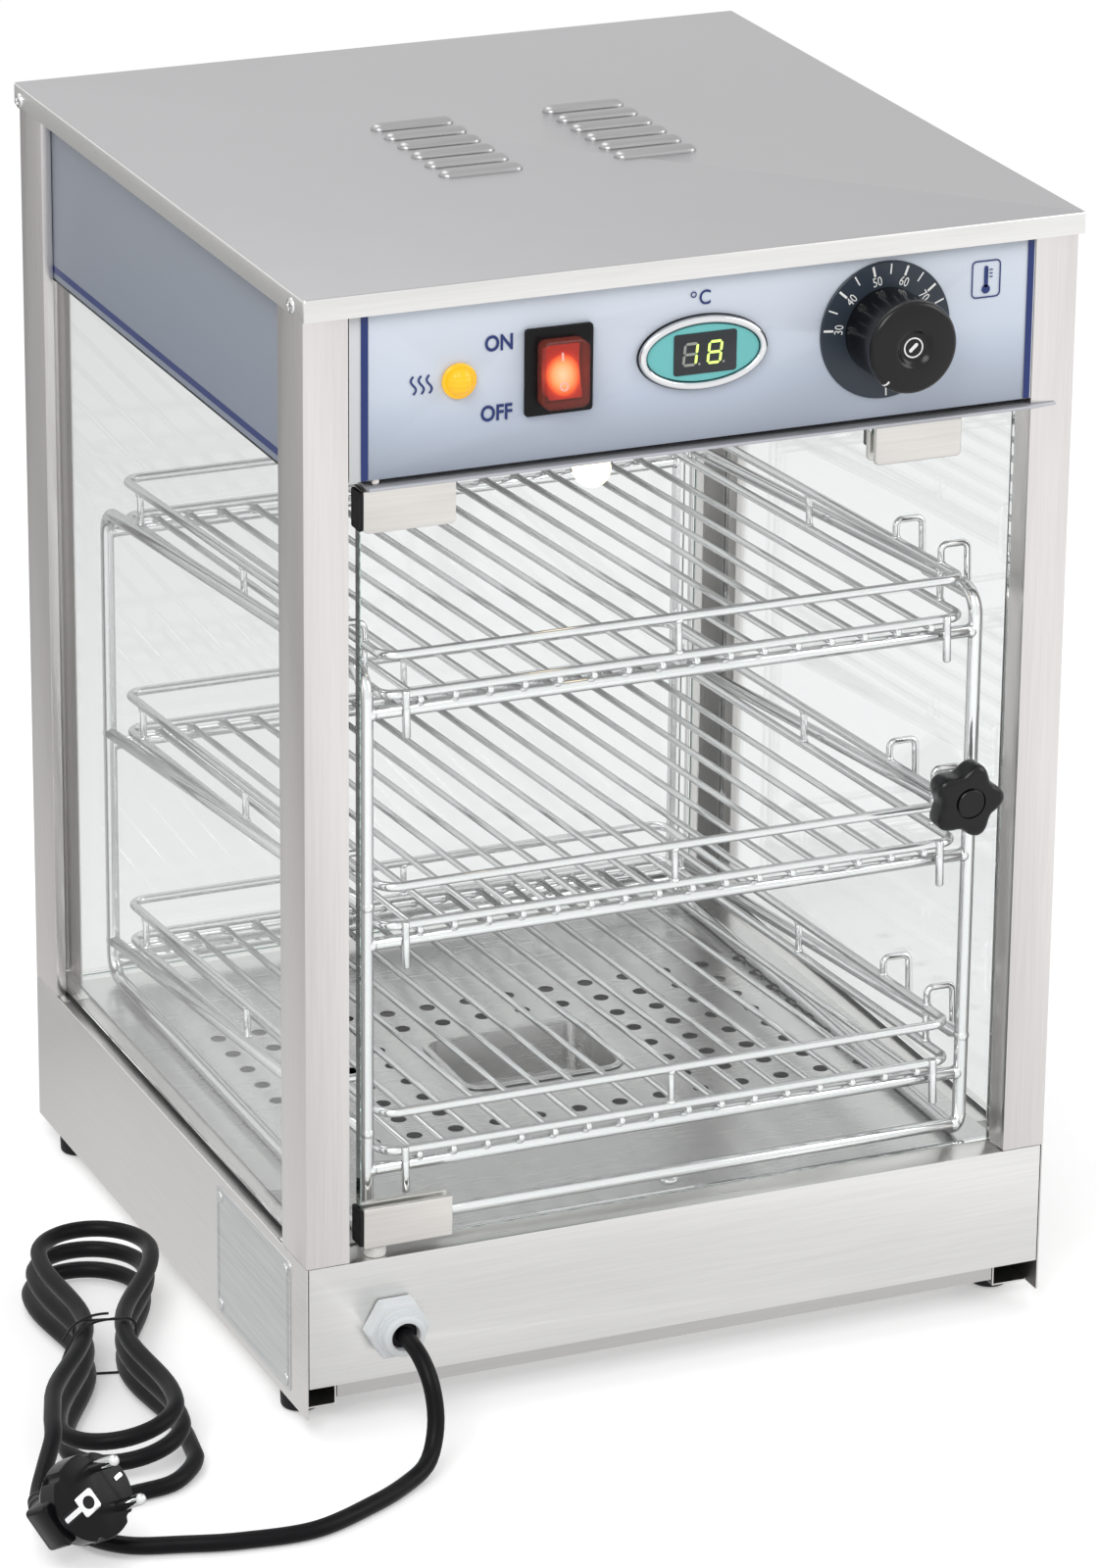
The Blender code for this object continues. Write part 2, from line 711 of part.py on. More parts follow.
def heater_bracket(material):
    top = HEATER_Z - HEATER_RADIUS - GAP
    foot_level = TRAY_BOTTOM + SHEET + GAP
    half = BRACKET_TOP_WIDTH / 2
    y = PAN_CENTRE_Y
    path = [(y - half - BRACKET_FOOT, foot_level + SHEET), (y - half, foot_level + SHEET), (y - half, top),
            (y + half, top), (y + half, foot_level + SHEET), (y + half + BRACKET_FOOT, foot_level + SHEET)]
    start = PAN_CENTRE_X - BRACKET_LENGTH / 2
    return solid("heater_bracket", prism(folded(path, SHEET), "X", start, start + BRACKET_LENGTH), material)


def terminal_block(material):
    low = TRAY_BOTTOM + SHEET + GAP
    high = low + TERMINAL_HEIGHT
    half = TERMINAL_WIDTH / 2
    inner = half - TERMINAL_STEP
    shelf = high - TERMINAL_STEP
    outline = [(-half, low), (half, low), (half, shelf), (inner, shelf), (inner, high),
               (-inner, high), (-inner, shelf), (-half, shelf)]
    outline = [(TERMINAL_END_INSET - HALF_D + a, b) for a, b in outline]
    start = TERMINAL_SIDE_INSET - HALF_W - TERMINAL_LENGTH / 2
    return solid("terminal_block", prism(outline, "X", start, start + TERMINAL_LENGTH), material)


# Posts, glass and head

def post(name, side_x, side_y, material):
    inner = HALF_W - POST_FACE
    path = [(inner, HALF_D - POST_INNER_FLANGE), (inner, HALF_D), (HALF_W, HALF_D),
            (HALF_W, HALF_D - POST_SIDE), (HALF_W - POST_RETURN, HALF_D - POST_SIDE)]
    path = [(side_x * a, side_y * b) for a, b in path]
    outline = folded(path, side_x * side_y * SHEET)
    return solid(name, prism(outline, "Z", POST_BOTTOM, POST_TOP), material)


def side_glass(name, side, material):
    outer = HALF_W - GLASS_INSET
    half = SIDE_GLASS_HALF
    return solid(name, between((side * (outer - GLASS), -half, GLASS_BOTTOM),
                               (side * outer, half, GLASS_TOP)),
                 material)


def side_seal(name, side, material):
    # Strip under the glass with an upright leg behind its rear edge.
    outer = side * (HALF_W - GLASS_INSET)
    half = SIDE_GLASS_HALF
    low = BASE_TOP + GAP
    path = [(-half, low), (half + GAP + SEAL, low), (half + GAP + SEAL, GLASS_TOP)]
    inner = outer - side * GLASS
    return solid(name, prism(folded(path, -SEAL), "X", min(inner, outer), max(inner, outer)), material)


def back_glass(material):
    outer = HALF_D - GLASS_INSET
    half = HALF_W - POST_FACE - GAP
    low = BASE_TOP + GAP
    return solid("back_glass", block((-half, outer - GLASS, low), (half, outer, GLASS_TOP)), material)


def header_side(name, side, material):
    outer = side * (HALF_W - GLASS_INSET)
    half = SIDE_GLASS_HALF
    return solid(name, between((outer, -half, HEAD_BOTTOM), (outer - side * SHEET, half, HEAD_TOP)),
                 material)


def flanged_head(name, side, bottom, material):
    # Upright panel across the front or back with a flange folded along each post.
    face = side * HALF_D
    flange = side * (HALF_D - FASCIA_FLANGE)
    path = [(-FASCIA_HALF, flange), (-FASCIA_HALF, face), (FASCIA_HALF, face), (FASCIA_HALF, flange)]
    return solid(name, prism(folded(path, side * SHEET), "Z", bottom, HEAD_TOP), material)


def fascia(material):
    panel = flanged_head("fascia", -1, FASCIA_BOTTOM, material)
    front = -HALF_D - OVERRUN
    back = -HALF_D + SHEET + OVERRUN
    lamp = oval(LAMP_STEM_RADIUS + GAP, LAMP_STEM_RADIUS + GAP, SMALL_ROUND, (LAMP_X, CONTROL_Z))
    dial = oval(DIAL_HOLE, DIAL_HOLE, SMALL_ROUND, (DIAL_X, CONTROL_Z))
    half_w = SWITCH_WIDTH / 2 - SWITCH_BODY_INSET + GAP
    half_h = SWITCH_HEIGHT / 2 - SWITCH_BODY_INSET + GAP
    switch = rounded_box(half_w, half_h, SWITCH_CORNER, 1, (SWITCH_X, CONTROL_Z))
    display = rounded_box(DISPLAY_BODY_WIDTH / 2 + GAP, DISPLAY_BODY_HEIGHT / 2 + GAP, SWITCH_CORNER, 1,
                          (DISPLAY_X, CONTROL_Z))
    return cut(panel, *[prism(outline, "Y", front, back) for outline in (lamp, dial, switch, display)])


def ceiling_plate(material):
    half_x = HALF_W - GLASS_INSET - SHEET - GAP
    high = CEILING_BOTTOM + CEILING_FLANGE
    path = [(-half_x, high), (-half_x, CEILING_BOTTOM), (half_x, CEILING_BOTTOM), (half_x, high)]
    return solid("ceiling_plate", prism(folded(path, -SHEET), "Y", -FLOOR_HALF_D, FLOOR_HALF_D), material)


def ledge_strip(material):
    # Strip over the door; its front edge runs to a point past the right post.
    back = -HALF_D + LEDGE_LAP
    front = -HALF_D - LEDGE_OVERHANG
    right = FASCIA_HALF
    tip = -HALF_D - GAP - LEDGE_TIP_DEPTH
    left = LEDGE_LEFT_SETBACK - HALF_W
    outline = [(left, back), (left, front), (right, front), (right + LEDGE_TIP, tip),
               (right + LEDGE_TIP, -HALF_D - GAP), (right, -HALF_D - GAP), (right, back)]
    ledge = solid("ledge_strip", prism(outline, "Z", LEDGE_BOTTOM, LEDGE_TOP), material)
    hole = PIN_RADIUS + PIN_CLEARANCE
    return cut(ledge, prism(oval(hole, hole, SMALL_ROUND, (HINGE_X, DOOR_PLANE)), "Z",
                            LEDGE_BOTTOM - OVERRUN, LEDGE_TOP + OVERRUN))


# Lid

def hood_profile(start, inset):
    # Quarter arch over a louvre, from its closed edge to its open mouth.
    outline = []
    base = LID_TOP - SHEET / 2 if inset == 0 else LID_TOP - SHEET - OVERRUN
    mouth = start + LOUVRE_WIDTH + (OVERRUN if inset else 0)
    outline.append((start + inset, base))
    for step in range(LOUVRE_STEPS + 1):
        angle = math.pi / 2 * step / LOUVRE_STEPS
        y = start + inset + (LOUVRE_WIDTH - inset) * (1 - math.cos(angle))
        outline.append((y, LID_TOP - inset + LOUVRE_RISE * math.sin(angle)))
    if inset:
        outline.append((mouth, outline[-1][1]))
        outline.append((mouth, LID_TOP + GAP))
        outline.append((start + LOUVRE_WIDTH, LID_TOP + GAP))
        outline.append((start + LOUVRE_WIDTH, base))
    else:
        outline.append((mouth, base))
    return outline


def louvre_places():
    places = []
    for group in range(LOUVRE_GROUPS):
        x = LOUVRE_CENTRE_X + (group - (LOUVRE_GROUPS - 1) / 2) * LOUVRE_GROUP_SPACING
        for row in range(LOUVRE_ROWS):
            y = LOUVRE_CENTRE_Y + (row - (LOUVRE_ROWS - 1) / 2) * LOUVRE_PITCH
            places.append((x, y - LOUVRE_WIDTH / 2))
    return places


def lid(material):
    half_x = HALF_W + LID_SIDE_CLEARANCE + SHEET
    half_y = HALF_D + LID_OVERHANG
    bottom = LID_TOP - LID_SKIRT
    cover = solid("lid", block((-half_x, -half_y, bottom), (half_x, half_y, LID_TOP)), material)
    cut(cover, block((SHEET - half_x, SHEET - half_y, bottom - OVERRUN),
                     (half_x - SHEET, half_y - SHEET, LID_TOP - SHEET)))
    hoods = []
    mouths = []
    for x, y in louvre_places():
        half = LOUVRE_LENGTH / 2
        hoods.append(prism(hood_profile(y, 0), "X", x - half, x + half))
        mouths.append(prism(hood_profile(y, SHEET), "X", x - half + SHEET, x + half - SHEET))
    fuse(cover, *hoods)
    cut(cover, *mouths)
    return cover


# Door, on its hinge axis

def door_origin():
    return (HINGE_X, DOOR_PLANE, DOOR_BOTTOM)


def clamp_outline(edge, height, up):
    # Channel of a clamp over the glass edge, its web on the edge.
    front = DOOR_PLANE - CLAMP_DEPTH / 2
    path = [(front, edge + up * height), (front, edge), (CLAMP_REAR, edge), (CLAMP_REAR, edge + up * height)]
    return folded(path, -up * CLAMP_WALL)


def about(origin, shape):
    return [tuple(Vector(point) - Vector(origin)) for point in shape[0]], shape[1]


def corner_waste(x, side, low):
    # What is ground off a lower corner of a clamp: all that lies outside a quarter circle.
    centre = (x - side * CLAMP_CORNER, low + CLAMP_CORNER)
    angles = [math.pi / 2 * k / CORNER_STEPS for k in range(CORNER_STEPS + 1)]
    outline = [(centre[0] + side * CLAMP_CORNER * math.sin(t), centre[1] - CLAMP_CORNER * math.cos(t))
               for t in angles]
    outline += [(x + side * OVERRUN, centre[1]), (x + side * OVERRUN, low - OVERRUN),
                (centre[0], low - OVERRUN)]
    return about(door_origin(), prism(outline, "Y", DOOR_PLANE - CLAMP_DEPTH, DOOR_PLANE + CLAMP_DEPTH))


def hinge_clamp(name, edge, up, material):
    left = -DOOR_HALF + DOOR_TOP_CLEARANCE
    clamp = solid(name, prism(clamp_outline(edge, CLAMP_HEIGHT, up), "X", left, left + CLAMP_LENGTH),
                  material,
                  door_origin())
    pin = turned([(0, edge + up * CLAMP_WALL / 2), (PIN_RADIUS, edge + up * CLAMP_WALL / 2),
                  (PIN_RADIUS, edge - up * PIN_LENGTH), (0, edge - up * PIN_LENGTH)],
                 "Z", (HINGE_X, DOOR_PLANE), SMALL_ROUND)
    fuse(clamp, about(door_origin(), pin))
    if up < 0:
        low = edge - CLAMP_HEIGHT
        cut(clamp, corner_waste(left, -1, low), corner_waste(left + CLAMP_LENGTH, 1, low))
    return clamp


def door_glass(material):
    # Pane notched at both hinge corners and under the catch plate.
    left = -DOOR_HALF
    clamp_end = left + DOOR_TOP_CLEARANCE + CLAMP_LENGTH + GAP
    notch = CLAMP_WALL + GAP
    catch_left = CATCH_X - CATCH_LENGTH / 2 - GAP
    catch_right = CATCH_X + CATCH_LENGTH / 2 + GAP
    outline = [(left, DOOR_BOTTOM + notch), (clamp_end, DOOR_BOTTOM + notch), (clamp_end, DOOR_BOTTOM),
               (DOOR_HALF, DOOR_BOTTOM), (DOOR_HALF, DOOR_TOP), (catch_right, DOOR_TOP),
               (catch_right, DOOR_TOP - notch), (catch_left, DOOR_TOP - notch), (catch_left, DOOR_TOP),
               (clamp_end, DOOR_TOP), (clamp_end, DOOR_TOP - notch), (left, DOOR_TOP - notch)]
    front = DOOR_PLANE - DOOR_GLASS / 2
    back = DOOR_PLANE + DOOR_GLASS / 2
    pane = solid("door_glass", prism(outline, "Y", front, back), material, door_origin())
    radius = STUD_RADIUS + STUD_CLEARANCE
    hole = prism(oval(radius, radius, SMALL_ROUND, (KNOB_X, KNOB_Z)), "Y", front - OVERRUN, back + OVERRUN)
    return cut(pane, about(door_origin(), hole))


def hinge_bush(material):
    low = BASE_TOP + GAP
    bore = PIN_RADIUS + PIN_CLEARANCE
    profile = [(bore, low), (BUSH_RADIUS, low), (BUSH_RADIUS, low + BUSH_HEIGHT), (bore, low + BUSH_HEIGHT)]
    return solid("hinge_bush", turned(profile, "Z", (HINGE_X, DOOR_PLANE), SMALL_ROUND, ring=True), material)


def catch_plate(material):
    # Steel clip over the top edge of the door that the magnet holds.
    front = DOOR_PLANE - DOOR_GLASS / 2 - GAP - CLAMP_WALL
    path = [(front, DOOR_TOP - CATCH_HEIGHT), (front, DOOR_TOP), (CLAMP_REAR, DOOR_TOP),
            (CLAMP_REAR, DOOR_TOP - CATCH_HEIGHT)]
    start = CATCH_X - CATCH_LENGTH / 2
    plate = solid("catch_plate", prism(folded(path, CLAMP_WALL), "X", start, start + CATCH_LENGTH), material,
                  door_origin())
    low = DOOR_TOP - CATCH_HEIGHT
    return cut(plate, corner_waste(start, -1, low), corner_waste(start + CATCH_LENGTH, 1, low))


def magnet_catch(material):
    front = CLAMP_REAR + GAP
    back = front + MAGNET_DEPTH
    high = LEDGE_BOTTOM - GAP
    low = high - MAGNET_HEIGHT
    outline = [(front, low), (front + MAGNET_STEP, low), (front + MAGNET_STEP, low - MAGNET_STEP),
               (back, low - MAGNET_STEP), (back, high), (front, high)]
    start = CATCH_X - MAGNET_LENGTH / 2
    return solid("magnet_catch", prism(outline, "X", start, start + MAGNET_LENGTH), material)


def lobed(radius, lobe):
    outline = []
    count = KNOB_LOBES * 6
    for k in range(count):
        angle = 2 * math.pi * k / count
        reach = radius + lobe * math.cos(KNOB_LOBES * angle)
        outline.append((KNOB_X + reach * math.sin(angle), KNOB_Z + reach * math.cos(angle)))
    return outline


def lofted(outlines, axis, stations):
    # Closed body through outlines of equal count at stations along the axis.
    count = len(outlines[0])
    points = []
    for outline, station in zip(outlines, stations):
        points += [on_axis(axis, a, b, station) for a, b in outline]
    faces = [tuple(range(count)), tuple(range(len(points) - count, len(points)))]
    for level in range(len(outlines) - 1):
        for i in range(count):
            j = (i + 1) % count
            low = level * count
            faces.append((low + i, low + j, low + count + j, low + count + i))
    return points, faces


def door_knob(material):
    seat = DOOR_PLANE - DOOR_GLASS / 2 - GAP
    neck = seat - KNOB_NECK
    front = neck - KNOB_THICKNESS
    thin = KNOB_RADIUS - KNOB_BEVEL
    outlines = [lobed(thin, KNOB_LOBE), lobed(KNOB_RADIUS, KNOB_LOBE), lobed(KNOB_RADIUS, KNOB_LOBE),
                lobed(thin, KNOB_LOBE)]
    stations = [neck, neck - KNOB_BEVEL, front + KNOB_BEVEL, front]
    knob = solid("door_knob", lofted(outlines, "Y", stations), material, door_origin())
    bore = STUD_RADIUS + GAP
    stem = turned([(0, seat), (KNOB_NECK_RADIUS, seat), (KNOB_NECK_RADIUS, neck - KNOB_BEVEL),
                   (0, neck - KNOB_BEVEL)], "Y", (KNOB_X, KNOB_Z), ROUND)
    cap = turned([(0, front + KNOB_BEVEL), (KNOB_CAP_RADIUS, front + KNOB_BEVEL),
                  (KNOB_CAP_RADIUS, front - KNOB_CAP),
                  (0, front - KNOB_CAP)], "Y", (KNOB_X, KNOB_Z), ROUND)
    fuse(knob, about(door_origin(), stem))
    fuse(knob, about(door_origin(), cap))
    depth = DOOR_PLANE - DOOR_GLASS / 2 - STUD_REACH - GAP
    hole = turned([(0, seat + OVERRUN), (bore, seat + OVERRUN), (bore, depth), (0, depth)], "Y",
                  (KNOB_X, KNOB_Z), SMALL_ROUND)
    cut(knob, about(door_origin(), hole))
    return knob


def door_stud(material):
    back = DOOR_PLANE + DOOR_GLASS / 2 + GAP
    tip = DOOR_PLANE - DOOR_GLASS / 2 - STUD_REACH
    profile = [(0, tip), (STUD_RADIUS, tip), (STUD_RADIUS, back), (STUD_HEAD_RADIUS, back),
               (STUD_HEAD_RADIUS, back + STUD_HEAD), (0, back + STUD_HEAD)]
    return solid("door_stud", turned(profile, "Y", (KNOB_X, KNOB_Z), SMALL_ROUND), material, door_origin())


# Wire rack

def level_front(level):
    return BASE_TOP + FIRST_LEVEL + level * LEVEL_SPACING


def stand_side(side):
    # One closed hoop per side, its top following the fall of the shelves.
    x = side * RACK_HALF_WIDTH
    low = FLOOR_TOP + GAP + STAND_WIRE
    top = LEVELS - 1
    path = [(x, -RACK_FRONT, low), (x, -RACK_FRONT, level_front(top) + RAIL_FRONT_RISE),
            (x, RACK_BACK, level_front(top) - RACK_FALL + TOP_RAIL_BACK_RISE), (x, RACK_BACK, low)]
    return wire(bent(path, STAND_BEND, closed=True), STAND_WIRE, STAND_SIDES, closed=True)


def stand_rail(side, level):
    x = side * RACK_HALF_WIDTH
    z = level_front(level)
    return wire([(x, -RACK_FRONT, z + RAIL_FRONT_RISE), (x, RACK_BACK, z - RACK_FALL + RAIL_BACK_RISE)],
                CROSS_WIRE, STAND_SIDES)


def cross_bar(y, z):
    return wire([(-RACK_HALF_WIDTH, y, z), (RACK_HALF_WIDTH, y, z)], CROSS_WIRE, STAND_SIDES)


def wire_stand(material):
    stand = solid("wire_stand", merged([stand_side(-1), stand_side(1)]), material)
    rails = [stand_rail(side, level) for side in (-1, 1) for level in range(LEVELS - 1)]
    low = FLOOR_TOP + GAP + 2 * STAND_WIRE + CROSS_WIRE - WELD_SINK
    bars = [cross_bar(-RACK_FRONT, low), cross_bar(RACK_BACK, low)]
    for level in range(LEVELS):
        bars.append(cross_bar(-RACK_FRONT, level_front(level)))
        bars.append(cross_bar(RACK_BACK, level_front(level) - RACK_FALL))
    for piece in bars + rails:
        fuse(stand, piece)
    return stand


# Heights above the line of the cross bars, along the shelf's own slope
ROD_LEVEL = CROSS_WIRE + GAP + ROD_WIRE
FRAME_LEVEL = ROD_LEVEL + ROD_WIRE + FRAME_WIRE - WELD_SINK
GUARD_LEVEL = FRAME_LEVEL + GUARD_RISE
SHELF_FRONT = -SHELF_FRONT_OVERHANG
SHELF_BACK = SHELF_RUN - SHELF_BACK_SETBACK


def shelf_loop(level):
    half = SHELF_HALF_WIDTH
    path = [(-half, SHELF_FRONT, level), (half, SHELF_FRONT, level), (half, SHELF_BACK, level),
            (-half, SHELF_BACK, level)]
    return wire(bent(path, SHELF_BEND, closed=True), FRAME_WIRE, WIRE_SIDES, closed=True)


def shelf_rods():
    half = SHELF_HALF_WIDTH - ROD_MARGIN
    rods = []
    for k in range(ROD_COUNT):
        x = -half + 2 * half * k / (ROD_COUNT - 1)
        rods.append(wire([(x, SHELF_FRONT - FRAME_WIRE, ROD_LEVEL), (x, SHELF_RUN + ROD_TAIL, ROD_LEVEL)],
                         ROD_WIRE, WIRE_SIDES))
    return rods


def shelf_uprights():
    half = SHELF_HALF_WIDTH
    middle = (SHELF_FRONT + SHELF_BACK) / 2
    feet = [(0, SHELF_FRONT), (0, SHELF_BACK)]
    for side in (-1, 1):
        for y in (SHELF_FRONT + UPRIGHT_MARGIN, middle, SHELF_BACK - UPRIGHT_MARGIN):
            feet.append((side * half, y))
    return [wire([(x, y, FRAME_LEVEL), (x, y, GUARD_LEVEL)], ROD_WIRE, WIRE_SIDES) for x, y in feet]


def shelf_pegs():
    # Stops that hang in front of the cross bar and keep the shelf from sliding back.
    y = -CROSS_WIRE - GAP - PEG_WIRE
    low = -CROSS_WIRE - PEG_DROP
    return [wire([(side * PEG_X, y, low), (side * PEG_X, y, FRAME_LEVEL + FRAME_WIRE)], PEG_WIRE, WIRE_SIDES)
            for side in (-1, 1)]


def shelf_hook(side):
    # Staple bent over the side rail: up from the guard, outwards, down, along and back.
    inner = side * SHELF_HALF_WIDTH
    outer = side * (SHELF_HALF_WIDTH + HOOK_OUT)
    high = GUARD_LEVEL + HOOK_RISE
    low = GUARD_LEVEL - HOOK_DROP
    near = HOOK_FIRST
    far = HOOK_FIRST + HOOK_SPACING
    path = [(inner, near, GUARD_LEVEL), (inner, near, high), (outer, near, high), (outer, near, low),
            (outer, far, low), (outer, far, high), (inner, far, high), (inner, far, GUARD_LEVEL)]
    return wire(bent(path, HOOK_BEND), HOOK_WIRE, WIRE_SIDES)


def wire_shelf(name, level, material):
    shelf = solid(name, merged([shelf_loop(FRAME_LEVEL), shelf_loop(GUARD_LEVEL)]), material)
    fuse(shelf, *shelf_rods())
    fuse(shelf, *shelf_uprights())
    fuse(shelf, *shelf_pegs(), shelf_hook(-1), shelf_hook(1))
    shelf.location = (0, -RACK_FRONT, level_front(level))
    shelf.rotation_euler = (-SHELF_SLOPE, 0, 0)
    return shelf


# Switch

def rocker_origin():
    return (SWITCH_X, PANEL_FACE - ROCKER_PIVOT, CONTROL_Z)


def switch_frame(material):
    centre = (SWITCH_X, CONTROL_Z)
    flange = rounded_box(SWITCH_WIDTH / 2, SWITCH_HEIGHT / 2, SWITCH_CORNER, BEND_STEPS, centre)
    body = rounded_box(SWITCH_WIDTH / 2 - SWITCH_BODY_INSET, SWITCH_HEIGHT / 2 - SWITCH_BODY_INSET,
                       SWITCH_CORNER, 1, centre)
    frame = solid("switch_frame", prism(flange, "Y", PANEL_FACE - SWITCH_FLANGE, PANEL_FACE), material)
    fuse(frame, prism(body, "Y", PANEL_FACE - SWITCH_FLANGE / 2, PANEL_FACE + SWITCH_BODY_DEPTH))
    swing = math.hypot(ROCKER_HALF_HEIGHT, ROCKER_END) + ROCKER_END_CLEARANCE
    half_w = ROCKER_WIDTH / 2 + ROCKER_SIDE_CLEARANCE
    depth = PANEL_FACE - ROCKER_PIVOT + math.hypot(ROCKER_BACK, ROCKER_BACK_HALF) * math.sin(
        math.atan2(ROCKER_BACK, ROCKER_BACK_HALF) + ROCKER_TILT) + ROCKER_END_CLEARANCE
    cut(frame, block((SWITCH_X - half_w, PANEL_FACE - SWITCH_FLANGE - OVERRUN, CONTROL_Z - swing),
                     (SWITCH_X + half_w, depth, CONTROL_Z + swing)))
    return frame


def rocker(material):
    # Paddle with a shallow V face; its rest is with the upper end pressed in.
    outline = [(0, -ROCKER_MIDDLE), (ROCKER_HALF_HEIGHT, -ROCKER_END), (ROCKER_BACK_HALF, ROCKER_BACK),
               (-ROCKER_BACK_HALF, ROCKER_BACK), (-ROCKER_HALF_HEIGHT, -ROCKER_END)]
    outline = [(y, z) for z, y in outline]
    half = ROCKER_WIDTH / 2
    paddle = solid("rocker", prism(outline, "X", -half, half), material)
    paddle.location = rocker_origin()
    paddle.rotation_euler = (-ROCKER_TILT, 0, 0)
    return paddle


def splash_cover(material):
    # Clear cap over the rocker, open towards the switch.
    centre = (SWITCH_X, CONTROL_Z)
    back = PANEL_FACE - SWITCH_FLANGE - GAP
    front = back - COVER_RISE
    shell = rounded_box(COVER_WIDTH / 2, COVER_HEIGHT / 2, COVER_CORNER, BEND_STEPS, centre)
    hollow = rounded_box(COVER_WIDTH / 2 - COVER_WALL, COVER_HEIGHT / 2 - COVER_WALL,
                         COVER_CORNER - COVER_WALL, BEND_STEPS, centre)
    cover = solid("splash_cover", prism(shell, "Y", front, back), material)
    return cut(cover, prism(hollow, "Y", front + COVER_WALL, back + OVERRUN))


# Other controls

def pilot_lamp(material):
    rim = PANEL_FACE - LAMP_RIM
    profile = [(0, PANEL_FACE + LAMP_STEM), (LAMP_STEM_RADIUS, PANEL_FACE + LAMP_STEM),
               (LAMP_STEM_RADIUS, PANEL_FACE),
               (LAMP_RADIUS, PANEL_FACE), (LAMP_RADIUS, rim)]
    for step in range(1, BEND_STEPS + 1):
        angle = math.pi / 2 * step / BEND_STEPS
        radius = LAMP_STEM_RADIUS * math.cos(angle) if step < BEND_STEPS else 0
        profile.append((radius, rim - LAMP_DOME * math.sin(angle)))
    return solid("pilot_lamp", turned(profile, "Y", (LAMP_X, CONTROL_Z), ROUND), material)


def display_bezel(material):
    centre = (DISPLAY_X, CONTROL_Z)
    front = PANEL_FACE - DISPLAY_RISE
    sides = [(0, PANEL_FACE), (0, PANEL_FACE - DISPLAY_RISE / 2), (DISPLAY_RIM / 3, front),
             (DISPLAY_RIM * 2 / 3, front), (DISPLAY_RIM, PANEL_FACE - DISPLAY_RISE / 2),
             (DISPLAY_RIM, PANEL_FACE)]
    points = []
    faces = []
    count = len(sides)
    for k in range(FINE_ROUND):
        angle = 2 * math.pi * k / FINE_ROUND
        for inset, y in sides:
            points.append((centre[0] + (DISPLAY_WIDTH / 2 - inset) * math.cos(angle), y,
                           centre[1] + (DISPLAY_HEIGHT / 2 - inset) * math.sin(angle)))
    for k in range(FINE_ROUND):
        n = (k + 1) % FINE_ROUND
        for i in range(count):
            j = (i + 1) % count
            faces.append((k * count + i, k * count + j, n * count + j, n * count + i))
    return solid("display_bezel", (points, faces), material)


def display_module(material):
    centre = (DISPLAY_X, CONTROL_Z)
    half_w = DISPLAY_WIDTH / 2 - DISPLAY_RIM - GAP
    half_h = DISPLAY_HEIGHT / 2 - DISPLAY_RIM - GAP
    window = solid("display_module", prism(oval(half_w, half_h, FINE_ROUND, centre), "Y",
                                           PANEL_FACE - DISPLAY_PLATE, PANEL_FACE), material)
    body = rounded_box(DISPLAY_BODY_WIDTH / 2, DISPLAY_BODY_HEIGHT / 2, SWITCH_CORNER, 1, centre)
    return fuse(window, prism(body, "Y", PANEL_FACE - DISPLAY_PLATE / 2, PANEL_FACE + DISPLAY_BODY_DEPTH))


def dial_plate(material):
    front = PANEL_FACE - DIAL_PLATE
    profile = [(DIAL_HOLE, PANEL_FACE), (DIAL_RADIUS, PANEL_FACE), (DIAL_RADIUS, front), (DIAL_HOLE, front)]
    return solid("dial_plate", turned(profile, "Y", (DIAL_X, CONTROL_Z), FINE_ROUND, ring=True), material)


def knob_origin():
    return (DIAL_X, -HALF_D, CONTROL_Z)


def thermostat_knob(material):
    back = PANEL_FACE - DIAL_PLATE - GAP
    shoulder = -HALF_D - SKIRT_REACH
    front = -HALF_D - GRIP_REACH
    profile = [(0, back), (SKIRT_RADIUS, back), (SKIRT_RADIUS + SKIRT_FLARE, shoulder),
               (GRIP_RADIUS - GAP, shoulder), (GRIP_RADIUS, shoulder - GAP),
               (GRIP_RADIUS, front + KNOB_EDGE), (GRIP_RADIUS - KNOB_EDGE, front),
               (GRIP_RADIUS - 2 * KNOB_EDGE, front), (GRIP_RECESS_RADIUS, front + GRIP_DISH / 2),
               (GRIP_RECESS_RADIUS, front + GRIP_DISH), (0, front + GRIP_DISH)]
    knob = solid("thermostat_knob", turned(profile, "Y", (DIAL_X, CONTROL_Z), FINE_ROUND), material,
                 knob_origin())
    bore = SHAFT_RADIUS + GAP
    hole = turned([(0, back + OVERRUN), (bore, back + OVERRUN), (bore, back - SHAFT_BORE),
                   (0, back - SHAFT_BORE)],
                  "Y", (DIAL_X, CONTROL_Z), SMALL_ROUND)
    return cut(knob, about(knob_origin(), hole))


def thermostat_body(material):
    half = THERMOSTAT_SIZE / 2
    box = solid("thermostat_body", prism(rounded_box(half, half, SWITCH_CORNER, 1, (DIAL_X, CONTROL_Z)), "Y",
                                         PANEL_BACK, PANEL_BACK + THERMOSTAT_DEPTH), material)
    bore = SHAFT_RADIUS + GAP
    return cut(box, turned([(0, PANEL_BACK - OVERRUN), (bore, PANEL_BACK - OVERRUN),
                            (bore, PANEL_BACK + THERMOSTAT_BORE), (0, PANEL_BACK + THERMOSTAT_BORE)],
                           "Y", (DIAL_X, CONTROL_Z), SMALL_ROUND))


def thermostat_shaft(material):
    inner = PANEL_BACK + THERMOSTAT_BORE - GAP
    outer = PANEL_FACE - DIAL_PLATE - GAP - SHAFT_BORE + GAP
    profile = [(0, inner), (SHAFT_RADIUS, inner), (SHAFT_RADIUS, outer), (0, outer)]
    return solid("thermostat_shaft", turned(profile, "Y", (DIAL_X, CONTROL_Z), SMALL_ROUND), material,
                 knob_origin())


